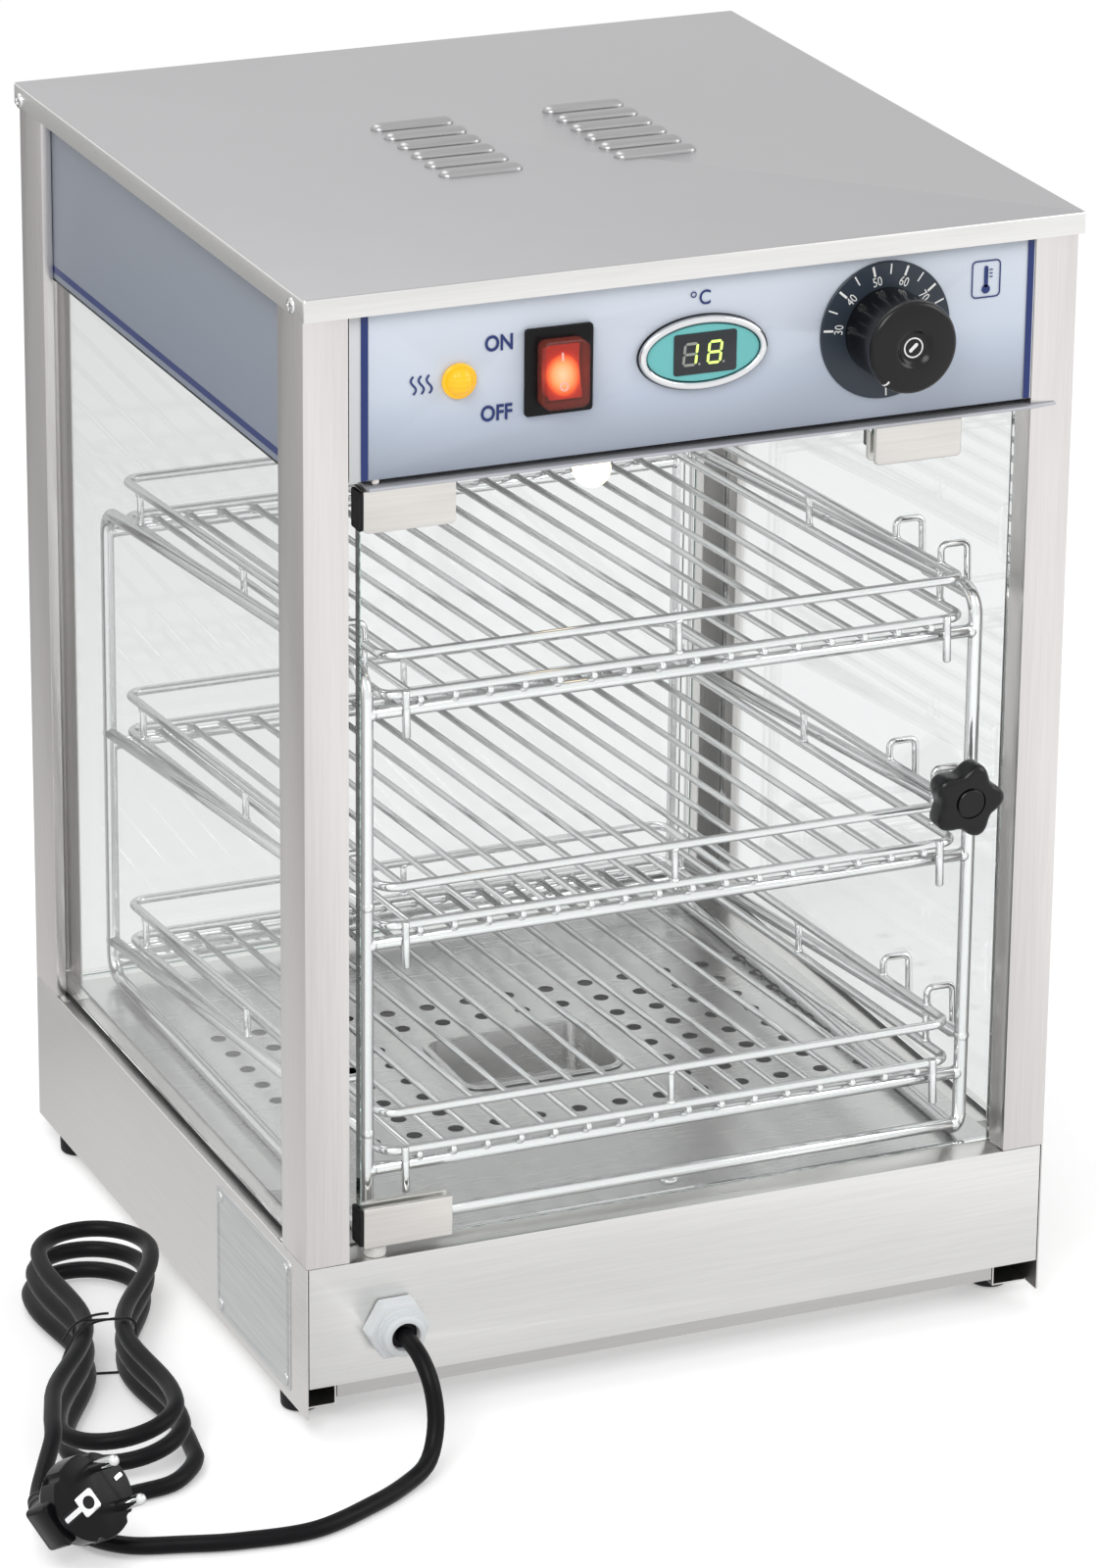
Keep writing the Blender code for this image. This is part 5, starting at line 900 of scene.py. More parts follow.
floor = {"half": (0.1532, 0.1532), "low": 0.0763, "high": 0.0771, "hole": 0.0035, "count": (15, 8),
         "span": (0.135456, 0.063937), "centre": (-0.0009, 0.0039), "blank": (5, 5), "blankRow": 1,
         "pan": (0.0363, 0.0273), "panCentre": (-0.001, 0.003), "sides": 32}


def makeFloorPlate():
    # each hole stands in a tile whose edge is the box cut by even directions, with the nearest
    # ones at its corners
    count, span, centre, blank, pan, panCentre, half = (
        np.array(floor[key]) for key in ("count", "span", "centre", "blank", "pan", "panCentre", "half"))
    pitch = 2 * span / (count - 1)
    angle = (np.arange(floor["sides"]) + 0.5) * 2 * np.pi / floor["sides"]
    way = np.stack([np.cos(angle), np.sin(angle)], -1)
    edge = way * np.min(pitch / 2 / np.abs(way), axis=1)[:, None]
    corner = np.array([(1, 1), (-1, 1), (-1, -1), (1, -1)]) * pitch / 2
    edge[np.argmin(np.linalg.norm(edge[None] - corner[:, None], axis=2), axis=1)] = corner
    low, high = floor["low"], floor["high"]
    first = np.array([(count[0] - blank[0]) // 2, floor["blankRow"]])
    tiles = []
    for row in range(count[1]):
        for column in range(count[0]):
            if np.any((column, row) < first) or np.any((column, row) >= first + blank):
                place = centre - span + (column, row) * pitch
                tiles.append(band(place + edge, place + way * floor["hole"], "Z", low, high))
    blankLow = centre - span + (first - 0.5) * pitch
    tiles.append(band(cornersOf(blankLow, blankLow + blank * pitch),
                      cornersOf(panCentre - pan, panCentre + pan),
                      "Z", low, high))
    left, front = centre - span - pitch / 2
    right, back = centre + span + pitch / 2
    halfX, halfY = half
    for x0, y0, x1, y1 in ((-halfX, -halfY, halfX, front), (-halfX, back, halfX, halfY),
                           (-halfX, front, left, back), (right, front, halfX, back)):
        tiles.append(boxShape((x0, y0, low), (x1, y1, high)))
    putMesh("floorPlate", tiles, innerSteel, "floor_plate", sharp=30)


makeFloorPlate()
print("floor plate made")


# Wire stand and shelves

rack = {"halfWide": 0.137, "front": -0.152, "back": 0.150, "standWire": 0.003, "bend": 0.010,
        "crossWire": 0.0027,
        "levels": (0.1095, 0.2102, 0.3109), "fall": 0.0189, "railFront": 0.017, "railBack": 0.0055,
        "topBack": 0.0095, "foot": 0.0804}
shelf = {"halfWide": 0.130, "front": -0.003, "back": 0.29859, "run": 0.30259, "bend": 0.008,
         "frameWire": 0.002,
         "rodWire": 0.0015, "rods": 16, "rodMargin": 0.0153, "rodTail": 0.0025, "rodLevel": 0.0045,
         "frameLevel": 0.0074, "guardLevel": 0.0242, "pegX": 0.1215, "pegWire": 0.00175, "pegDrop": 0.008,
         "pegGap": 0.0003, "uprightMargin": 0.022, "hookWire": 0.0015, "hookRise": 0.009,
         "hookOut": 0.0123,
         "hookDrop": 0.0145, "hookFirst": 0.018, "hookSpacing": 0.043, "hookBend": 0.0028}
slope = math.atan(rack["fall"] / (rack["back"] - rack["front"]))


def bead(centre, radii, rings=8, sides=12):
    # ellipsoid: the sine and cosine of a polar angle times the three radii
    polar = np.linspace(0, np.pi, rings + 1)
    outlines = np.sin(polar)[:, None, None] * unitCircle(sides) * radii[:2]
    return stackOutlines(outlines, "Z", np.cos(polar) * radii[2], centre, "open")


def roundedRod(start, end, radius, sides=12):
    # straight wire whose ends are eased over a third of its radius
    start, end = np.asarray(start, float), np.asarray(end, float)
    ease = (end - start) / np.linalg.norm(end - start) * radius * 0.3
    return tube([start, start + ease, end - ease, end], np.array([0.72, 1, 1, 0.72]) * radius, sides)


def makeStand():
    wide, front, back, wire = rack["halfWide"], rack["front"], rack["back"], rack["crossWire"]
    top = rack["levels"][-1]
    wires = []
    for x in (-wide, wide):
        hoop = [(x, front, rack["foot"]), (x, front, top + rack["railFront"]),
                (x, back, top - rack["fall"] + rack["topBack"]), (x, back, rack["foot"])]
        wires.append(tube(arcCorners(hoop, rack["bend"], 10, closed=True), rack["standWire"], 20,
                          closed=True))
        for level in rack["levels"][:-1]:
            ends = [(x, front, level + rack["railFront"]),
                    (x, back, level - rack["fall"] + rack["railBack"])]
            wires.append(roundedRod(*ends, wire, 18))
            wires += [bead(end, (0.0034, 0.0036, 0.0033)) for end in ends]
    low = rack["foot"] + rack["standWire"] + wire - 0.0006
    bars = [(front, low), (back, low)]
    for level in rack["levels"]:
        bars += [(front, level), (back, level - rack["fall"])]
    for y, z in bars:
        wires.append(roundedRod((-wide, y, z), (wide, y, z), wire, 18))
        wires += [bead((side * (wide - 0.0021), y, z), (0.0030, 0.0033, 0.0033)) for side in (-1, 1)]
    putMesh("rackStand", wires, plating, "wire_stand", sharp=50)


def shelfWires():
    s = shelf
    half, front, back, frameLevel, guard = (s[key] for key in ("halfWide", "front", "back", "frameLevel",
                                                               "guardLevel"))
    wires = []
    for level in (frameLevel, guard):
        corners = [(x, y, level) for x, y in cornersOf((-half, front), (half, back))]
        wires.append(tube(arcCorners(corners, s["bend"], 9, True), s["frameWire"], 16, closed=True))
    for x in np.linspace(s["rodMargin"] - half, half - s["rodMargin"], s["rods"]):
        wires.append(roundedRod((x, front - s["frameWire"], s["rodLevel"]),
                                (x, s["run"] + s["rodTail"], s["rodLevel"]),
                                s["rodWire"]))
        wires += [bead((x, y, s["rodLevel"] + s["rodWire"] - 0.0001), (0.0019, 0.0017, 0.0011), 6, 10)
                  for y in (front, back)]
    uprights = [(0, front), (0, back)]
    uprights += [(x, y) for x in (-half, half)
                 for y in (front + s["uprightMargin"], (front + back) / 2, back - s["uprightMargin"])]
    for x, y in uprights:
        wires.append(roundedRod((x, y, frameLevel - 0.0008), (x, y, guard + 0.0008), s["rodWire"]))
        wires += [bead((x, y, z), (0.0021, 0.0021, 0.0014), 6, 10) for z in (frameLevel + 0.0016,
                                                                             guard - 0.0016)]
    pegY = -rack["crossWire"] - s["pegGap"] - s["pegWire"]
    near, far = s["hookFirst"], s["hookFirst"] + s["hookSpacing"]
    high, low = guard + s["hookRise"], guard - s["hookDrop"]
    for side in (-1, 1):
        x, inner, outer = side * s["pegX"], side * half, side * (half + s["hookOut"])
        wires.append(roundedRod((x, pegY, -rack["crossWire"] - s["pegDrop"]),
                                (x, pegY, frameLevel + s["frameWire"]),
                                s["pegWire"]))
        staple = [(inner, near, guard), (inner, near, high), (outer, near, high), (outer, near, low),
                  (outer, far, low), (outer, far, high), (inner, far, high), (inner, far, guard)]
        wires.append(tube(arcCorners(staple, s["hookBend"], 7), s["hookWire"], 12))
        wires += [bead((inner, y, guard + 0.0012), (0.0021, 0.0022, 0.0018), 6, 10) for y in (near, far)]
    return wires


def makeShelves():
    wires = shelfWires()
    for level, name in zip(rack["levels"], ("lower", "middle", "upper")):
        place = Matrix.Translation((0, rack["front"], level)) @ Matrix.Rotation(-slope, 4, "X")
        putMesh("shelf" + name.capitalize(), [moved(wire, place) for wire in wires], plating,
                "shelf_" + name,
                body="shelf_" + name, sharp=50)


makeStand()
makeShelves()
print("rack made")


# Control panel: its print as thin films on the sheet

panel = {"front": -0.1703, "low": 0.4160, "high": 0.4925, "controlZ": 0.4532, "film": 0.00006,
         "bars": ((-0.1457, -0.1426), (0.1469, 0.1498)), "lampX": -0.1041, "switchX": -0.0616,
         "displayX": 0.0014,
         "dialX": 0.0827, "margin": (0.66, 0.675, 0.69)}


def panelPrint(name, shades, margins):
    # pale blue film: shades from low to high, and near-white margins, by the object's own Z and X
    material, shader = shaderOf(name)
    tree = material.node_tree
    split = addNode(tree, "SeparateXYZ", objectPlace(tree)).outputs
    height = ranged(tree, split["Z"], (0.0, 1.0), (panel["low"], panel["high"]))
    shade = rampOf(tree, height, *zip((0.0, 0.12, 0.28, 0.45, 0.8, 1.0), shades))
    inside = worked(tree, "MULTIPLY", worked(tree, "GREATER_THAN", split["X"], margins[0]),
                    worked(tree, "LESS_THAN", split["X"], margins[1]))
    # the Mix node's sockets 6 and 7 and its output 2 are its colours
    mix = addNode(tree, "Mix", inside, data_type="RGBA")
    mix.inputs[6].default_value = (*panel["margin"], 1.0)
    tree.links.new(shade, mix.inputs[7])
    tree.links.new(mix.outputs[2], shader.inputs["Base Color"])
    brushed(tree, shader, (30.0, 800.0, 800.0), 0.97, 1.03, (0.30, 0.42), 0.03)
    return material


panelFilm = panelPrint("panelFilm", ((0.36, 0.40, 0.48), (0.42, 0.47, 0.56), (0.50, 0.56, 0.67),
                                     (0.60, 0.66, 0.76), (0.66, 0.715, 0.80), (0.66, 0.71, 0.79)),
                                     (-0.1426, 0.1469))
secondMaterial(softened("panelSheet", "fascia", 0.00025, panelFilm), frontSteel,
               lambda normal: normal.y > -0.5)


def filmOn(outline, y=panel["front"], thickness=panel["film"]):
    # thin plate standing out from the panel's face or another level
    return slab(outline, "Y", y, y - thickness)


def filmRing(halfX, halfZ, corner, width, centre):
    outer = roundedOutline(halfX, halfZ, corner) + centre
    inner = roundedOutline(halfX - width, halfZ - width, max(corner - width, 0.0002)) + centre
    return band(outer, inner, "Y", panel["front"], panel["front"] - panel["film"])


def wordOutline(word, height, centre, name, material, y=panel["front"], tilt=0.0, slim=0.86, bold=0.024):
    # lettering made a mesh: letters stand in x and z, centred at a place on the panel, turned by tilt
    data = bpy.data.curves.new(name, "FONT")
    data.body = word
    data.size = 1.0
    data.align_x = "CENTER"
    data.offset = bold
    data.extrude = 0.5
    data.resolution_u = 4
    holder = linked(name + "Font", data)
    mesh = bpy.data.meshes.new_from_object(holder)
    bpy.data.objects.remove(holder)
    places = np.empty(len(mesh.vertices) * 3)
    mesh.vertices.foreach_get("co", places)
    places = places.reshape(-1, 3)
    low, high = places.min(axis=0), places.max(axis=0)
    scale = height / (high[1] - low[1])
    a, b, depth = ((places - (low + high) / 2) * (scale * slim, scale, 1.0)).T
    points = np.stack([a * math.cos(tilt) - b * math.sin(tilt) + centre[0],
                       np.where(depth > 0, y - panel["film"], y),
                       a * math.sin(tilt) + b * math.cos(tilt) + centre[1]], -1)
    faces = [tuple(face.vertices) for face in mesh.polygons]
    bpy.data.meshes.remove(mesh)
    putMesh(name, (points, faces), material, sharp=30)


pictogram = {"centre": (0.1281, 0.4695), "drop": 0.0019, "dropFall": 0.0043, "stem": (0.0009, 0.0046),
             "ticks": (0.0008, 0.0023, 0.0038), "tick": (0.0008, 0.00022), "tickOut": 0.0022}
heatSign = {"x": -0.1200, "apart": 0.0034, "wave": 0.0011, "half": 0.0038, "line": 0.00042}


def makePictogram():
    p = pictogram
    x, z = p["centre"]
    films = [filmRing(0.0066, 0.0080, 0.0022, 0.0006, p["centre"]),
             filmOn(unitCircle(28) * p["drop"] + (x, z - p["dropFall"])),
             filmOn(roundedOutline(*p["stem"], 0.0009, 5) + (x, z + 0.0010))]
    films += [filmOn(roundedOutline(*p["tick"], 0.0002, 3) + (x + p["tickOut"],
                                                              z + rise)) for rise in p["ticks"]]
    putMesh("thermometerSign", films, printBlue)


def makeHeatSign():
    # three rising waves left of the lamp: x follows a sine of the height
    t = np.linspace(0, 1, 22)
    films = []
    for shift in (-heatSign["apart"], 0, heatSign["apart"]):
        line = np.stack([heatSign["x"] + shift + heatSign["wave"] * np.sin(2 * np.pi * t),
                         panel["controlZ"] + heatSign["half"] * (2 * t - 1)], -1)
        way = np.gradient(line, axis=0)[:, ::-1] * (-1, 1)
        way *= heatSign["line"] / np.linalg.norm(way, axis=1)[:, None]
        films.append(filmOn(np.concatenate([line + way, (line - way)[::-1]])))
    putMesh("heatSign", films, printBlue)


low, high = panel["low"] + 0.0002, panel["high"] - 0.0004
putMesh("panelBars", [filmOn(cornersOf((x0, low), (x1, high))) for x0, x1 in panel["bars"]], printBlue)
wordOutline("ON", 0.0068, (-0.0869, 0.4669), "wordOn", printBlue)
wordOutline("OFF", 0.0068, (-0.08775, 0.4380), "wordOff", printBlue)
makePictogram()
makeHeatSign()
putMesh("degreeSign", filmRing(0.0013, 0.0013, 0.0012, 0.0005, (-0.0026, 0.4773)), printBlue)
wordOutline("C", 0.0062, (0.0024, 0.4758), "letterC", printBlue, slim=0.9, bold=0.01)
print("panel print made")


# Side headers: bluish film with a thin line at the top and a thick one at the bottom

headerFilm = panelPrint("headerFilm", ((0.22, 0.25, 0.31), (0.24, 0.27, 0.33), (0.25, 0.28, 0.34),
                                       (0.26, 0.29, 0.345), (0.28, 0.31, 0.365), (0.29, 0.32, 0.37)),
                                       (-1.0, 1.0))
headerLines = ((0.4862, 0.4871), (0.4168, 0.4199))
for name, node, side in (("headerLeft", "header_left", -1), ("headerRight", "header_right", 1)):
    sheets[name].data.materials.append(headerFilm)
    secondMaterial(sheets[name], sideSteel, lambda normal: normal.x * side < 0.5)
    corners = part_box(node)
    outer = corners[side > 0][0]
    x0, x1 = sorted((outer, outer + side * panel["film"]))
    lines = [boxShape((x0, corners[0][1] + 0.001, low), (x1, corners[1][1] - 0.001, high)) for low,
             high in headerLines]
    putMesh(name + "Lines", lines, printBlue, offset=0)


# Pilot lamp

lampForm = {"radius": 0.00725, "rim": 0.0015, "dome": 0.0058, "rise": 0.0045, "ribs": 0.00022,
            "pitch": 0.0021,
            "stem": (0.0003, 0.0219)}


def makePilotLamp():
    # dome: circle root of the radius, less a lattice of small pyramids from two triangle waves
    radius, dome, front = lampForm["radius"], lampForm["dome"], panel["front"]
    rimFront = front - lampForm["rim"]
    share = np.linspace(1, 0, 26)
    a, b = np.moveaxis(share[:, None, None] * dome * unitCircle(60), -1, 0)
    share = share[:, None]
    waves = [np.abs((part / lampForm["pitch"]) % 1 - 0.5) for part in (a, b)]
    wave = (waves[0] + waves[1]) * lampForm["ribs"] * 2
    wave *= np.clip(1.3 - share ** 4 * 1.3, 0, 1)
    rise = lampForm["rise"] * np.sqrt(np.clip(1 - share ** 2, 0, 1)) - wave
    skirt, _ = lathe([(0, front), (radius, front), (radius, rimFront + 0.0003),
                      (radius - 0.0004, rimFront),
                      (dome + 0.0001, rimFront)], "Y", segments=60)
    points = np.concatenate([skirt, np.stack([a, rimFront - rise, b], -1)])
    middle = np.array([panel["lampX"], 0, panel["controlZ"]])
    start, end = (front + reach for reach in lampForm["stem"])
    putMesh("pilotLens", (points + middle, gridFaces(len(points), 60, False, True)), amberLens,
            "pilot_lamp", sharp=25)
    putMesh("pilotStem", lathe([(0, start), (dome, start), (dome, end), (0, end)], "Y", middle, 32),
            dullPlastic)


makePilotLamp()


# Rocker with its marks

rockerForm = {"halfWide": 0.00725, "halfHigh": 0.011, "end": 0.0052, "middle": 0.0036, "back": 0.0025,
              "backHalf": 0.0085, "pivot": 0.0018, "tilt": math.radians(9),
              "glowHalf": (0.0096, 0.02, 0.0108),
              "glowAt": (-0.005, -0.001), "glow": 1.45, "mark": -0.0040, "ring": (0.00185, 0.0012)}


def litRocker():
    # red plastic lit from inside: orange at the middle, falling off with the distance from it
    material, shader = shaderOf("litRocker", Base_Color=(0.42, 0.018, 0.006, 1.0), Roughness=0.25,
                                Emission_Strength=rockerForm["glow"])
    tree = material.node_tree
    inward, below = rockerForm["glowAt"]
    centre = np.array([panel["switchX"], panel["front"] + inward, panel["controlZ"] + below]) + caseShift
    offset = worked(tree, "SUBTRACT", objectPlace(tree), centre, kind="VectorMath")
    shrunk = worked(tree, "MULTIPLY", offset, [1 / half for half in rockerForm["glowHalf"]],
                    kind="VectorMath")
    length = addNode(tree, "VectorMath", shrunk, operation="LENGTH").outputs["Value"]
    glow = rampOf(tree, length, (0.0, (1.0, 0.80, 0.50)), (0.40, (1.0, 0.52, 0.20)),
                  (0.66, (0.95, 0.17, 0.03)),
                  (0.80, (0.30, 0.014, 0.003)), (1.0, (0.10, 0.003, 0.001)))
    tree.links.new(glow, shader.inputs["Emission Color"])
    return material


def makeRocker():
    # shallow V face: its depth grows from middle to end with the height to the power 1.6
    r = rockerForm
    height = np.linspace(-1, 1, 17)
    face = np.stack([-(r["middle"] + (r["end"] - r["middle"]) * np.abs(height) ** 1.6),
                     height * r["halfHigh"]], -1)
    outline = np.concatenate([face, [(r["back"], r["backHalf"]), (r["back"], -r["backHalf"])]])
    centre = outline.mean(axis=0)
    slim = centre + (outline - centre) * 0.94
    half, front = r["halfWide"], r["mark"]
    paddle = stackOutlines([slim, outline, outline, slim], "X", (-half, -half + 0.0006, half - 0.0006,
                                                                 half))
    place = Matrix.Translation((panel["switchX"], panel["front"] - r["pivot"], panel["controlZ"]))
    turn = place @ Matrix.Rotation(-r["tilt"], 4, "X")
    putMesh("litPaddle", moved(paddle, turn), litRocker(), "rocker", body="rocker", sharp=35)
    outer, inner = (unitCircle(28) * radius + (0, -0.0062) for radius in r["ring"])
    marks = [slab(roundedOutline(0.0004, 0.0017, 0.0003, 3), "Y", front, front - 0.00075, (0, 0, 0.0058)),
             band(outer, inner, "Y", front, front - 0.0008)]
    putMesh("rockerMarks", [moved(mark, turn) for mark in marks], litWhite, body="rocker")


makeRocker()


# Temperature display

display = {"half": (0.0283, 0.0155), "rim": 0.0034, "rise": 0.003, "wall": 0.0012,
           "window": (0.0138, 0.0086),
           "digit": (0.0027, 0.0044), "digits": (-0.0057, 0.0050), "stroke": 0.00056,
           "windowShift": 0.0006,
           "lean": 0.10, "level": 0.00232, "darkRing": 0.00035,
           "face": ((1.0, 0.0), (1.0, 0.0015), (0.985, 0.00175), (0.93, 0.0018), (0.0, 0.0018))}


def ovalRing(grow, section):
    # the display's ellipse with its half axes less each section point's inset, at that point's depth
    inset, depth = np.asarray(section, float).T
    half = np.array(display["half"]) + grow - inset[:, None]
    return stackOutlines(half[:, None] * unitCircle(96), "Y", panel["front"] - depth,
                         (panel["displayX"], 0, panel["controlZ"]), "ring")


def makeDisplay():
    d, front = display, panel["front"]
    centre, rim, wall = (panel["displayX"], 0, panel["controlZ"]), d["rim"], d["wall"]
    arch = [(rim * (1 - math.cos(t)) / 2, wall + (d["rise"] - wall) * math.sin(t) ** 0.8)
            for t in np.linspace(0, np.pi, 13)]
    putMesh("displayRim", ovalRing(0, [(0, 0), *arch, (rim, 0)]), brightTrim, "display_bezel", sharp=50)
    # a thin dark ring round the rim's outer edge, where it meets the panel
    darkRing = ovalRing(d["darkRing"], [(0, 0), (0.0001, 0.0009), (0.0010, 0.0011), (0.0010, 0)])
    putMesh("displayDarkRing", darkRing, sealRubber, sharp=50)
    size, depth = np.array(d["face"]).T
    inner = np.array(d["half"]) - rim - 0.0003
    points, faces = stackOutlines(size[:, None, None] * unitCircle(72) * inner, "Y", front - depth,
                                  centre, "open")
    putMesh("displayFace", (points, faces + [tuple(range(72))]), tealFace, "display_module")
    housing = slab(roundedOutline(0.017, 0.007, 0.0015, 4), "Y", front + 0.0159, front + 0.0002, centre)
    putMesh("displayHousing", housing, dullPlastic)
    wide, high = d["window"]
    window, slim = roundedOutline(wide, high, 0.0012, 5), roundedOutline(wide - 0.0003, high - 0.0003,
                                                                         0.001, 5)
    putMesh("displayWindow", stackOutlines([window, window, slim], "Y",
                                           (front - 0.0016, front - 0.0021, front - 0.0023),
                                           (centre[0] + d["windowShift"], 0, centre[2])), darkWindow)


def segmentOutline(start, end, half):
    # six-cornered bar between two points, pointed at both ends
    way = (end - start) / np.linalg.norm(end - start) * half
    side = np.array([-way[1], way[0]])
    start, end = start + way * 0.35, end - way * 0.35
    return np.array([start, start + way + side, end - way + side, end, end - way - side,
                     start + way - side])


def makeDigits():
    d = display
    y = panel["front"] - d["level"]
    wide, high = d["digit"]
    corners = {"tl": (-wide, high), "tr": (wide, high), "ml": (-wide, 0), "mr": (wide, 0),
               "bl": (-wide, -high),
               "br": (wide, -high)}
    segments = {"a": "tl tr", "b": "tr mr", "c": "mr br", "d": "bl br", "e": "ml bl", "f": "tl ml",
                "g": "ml mr"}
    lit, unlit = [], []
    for shift, on in zip(d["digits"], ("bc", "abcdefg")):
        x = shift + panel["displayX"]
        for letter, ends in segments.items():
            outline = segmentOutline(*(np.array(corners[end]) for end in ends.split()), d["stroke"])
            outline += np.stack([outline[:, 1] * d["lean"] + x - 0.0003, np.full(6, panel["controlZ"])],
                                -1)
            (lit if letter in on else unlit).append(filmOn(outline, y))
        dot = roundedOutline(0.0005, 0.0005, 0.00045, 4) + (x + wide + 0.0009, panel["controlZ"] - high)
        unlit.append(filmOn(dot, y))
    putMesh("digitsLit", lit, digitGlow)
    putMesh("digitsUnlit", unlit, digitGrey)


makeDisplay()
makeDigits()
print("switch, lamp and display made")


# Dial and thermostat knob

dial = {"radius": 0.029, "front": -0.1713, "skirt": 0.0182, "flare": 0.0006, "grip": 0.0195,
        "panelPlane": -0.170,
        "skirtReach": 0.0243, "gripReach": 0.0293, "dish": 0.0022, "dishRadius": 0.0088, "recess": 0.0052,
        "crown": 0.0009, "bend": 0.0026, "lip": 0.0007, "bore": 0.0056, "edge": 0.0003,
        "scaleRadius": 0.0212,
        "ticks": (0.0236, 0.0279), "pointer": math.radians(-131), "pointerHalf": 0.0004,
        "ring": (0.0043, 0.0037),
        "barLean": math.radians(42), "tens": {"30": 175, "40": 139, "50": 103, "60": 70, "70": 38},
        "fives": (157, 121, 86, 54, 22), "bottom": -88}
dialPlace = np.array([panel["dialX"], panel["controlZ"]])
dialCentre = (dialPlace[0], 0, dialPlace[1])


def turned(outline, angle):
    return outline @ np.array([[math.cos(angle), math.sin(angle)], [-math.sin(angle), math.cos(angle)]])


def makeDial():
    front, back, radius, bore = dial["front"], panel["front"], dial["radius"], dial["bore"]
    edge = dial["edge"]
    rim = [(bore, back), (radius, back), (radius, front + edge), (radius - edge, front), (bore, front),
           (bore, back)]
    putMesh("dialPlate", lathe(rim, "Y", dialCentre, 120), dialBlack, "dial_plate", sharp=35)
    inner, outer = dial["ticks"]
    ticks = []
    for degrees in (*dial["tens"].values(), *dial["fives"], dial["bottom"]):
        half = 0.00048 if degrees in dial["tens"].values() else 0.0003
        bar = turned(cornersOf((inner, -half), (outer, half)), math.radians(degrees))
        ticks.append(filmOn(bar + dialPlace, front))
    putMesh("dialTicks", ticks, markWhite)
    for word, degrees in dial["tens"].items():
        angle = math.radians(degrees - 1.5)
        centre = dialPlace + (dial["scaleRadius"] * math.cos(angle), dial["scaleRadius"] * math.sin(angle))
        wordOutline(word, 0.0039, centre, "dialNumber" + word, markWhite, front, angle - math.pi / 2,
                    0.78, 0.0)


def makeKnob():
    # slightly flared wall, rim and crowned face with its dish as one turned profile; the crown
    # falls with the
    # square of the distance from the dish, and the dish is a smooth step
    skirt, grip, crown, bend, lip = (dial[key] for key in ("skirt", "grip", "crown", "bend", "lip"))
    back = dial["front"] - dial["edge"]
    shoulder, front = dial["panelPlane"] - dial["skirtReach"], dial["panelPlane"] - dial["gripReach"]
    edge = quarterArc((grip - bend, front + crown + bend), (bend, -bend), 7)
    rim, well = grip - bend, dial["dishRadius"]
    profile = [(0, back), (skirt, back), (skirt + dial["flare"], shoulder)]
    profile += quarterArc((grip - lip, shoulder - lip), (lip, lip), 7, True) + edge
    profile += [(rim - (rim - well) * t, front + crown * (1 - t) ** 2) for t in np.linspace(0, 1, 9)[1:]]
    profile += [(well - (well - dial["recess"]) * t, front + dial["dish"] * t ** 2 * (3 - 2 * t))
                for t in np.linspace(0, 1, 11)[1:]]
    level = front + dial["dish"]
    putMesh("knobBody", lathe(profile + [(0, level)], "Y", dialCentre, 144), knobPlastic,
            "thermostat_knob",
            body="knob")
    # pointer line over the rim's edge, and a plain ring with a bar in the recess
    inner = np.array(edge)
    outer = inner + quarterArc((0, 0), (panel["film"], -panel["film"]), 7)
    radius, depth = np.concatenate([inner, outer[::-1]]).T
    sides = [turned(np.column_stack([radius, np.full(len(radius), half)]), dial["pointer"])
             for half in (-dial["pointerHalf"], dial["pointerHalf"])]
    pointer = [(x, y, z) for side in sides for (x, z), y in zip(side, depth)]
    outer, inner = (unitCircle(36) * reach + dialPlace for reach in dial["ring"])
    bar = turned(roundedOutline(0.0024, 0.00075, 0.0007, 4), dial["barLean"]) + dialPlace
    putMesh("knobMarks", [(np.array(pointer) + dialCentre, shellFaces(2, len(radius))),
                          band(outer, inner, "Y", level, level - 0.00008), filmOn(bar, level, 0.00008)],
            markWhite, body="knob")


makeDial()
makeKnob()
print("dial and knob made")


# Door fittings: star knob, stud, hinge bush and gaskets

doorForm = {"plane": -0.16525, "glassHalf": 0.0025, "gap": 0.0003, "knob": (0.1205, 0.2475),
            "radius": 0.0145,
            "lobe": 0.002, "lobes": 5, "thick": 0.012, "neck": 0.0078, "lean": math.radians(17),
            "backEase": 0.0026,
            "frontEase": 0.0030, "hinge": -0.1378, "bush": (0.0763, 0.0816), "knurl": 0.00016,
            "knurls": 32,
            "cap": ((0.0068, 0.0), (0.0066, -0.0008), (0.0061, -0.0008), (0.0060, 0.0004),
                    (0.0057, 0.0007),
                    (0, 0.0007))}


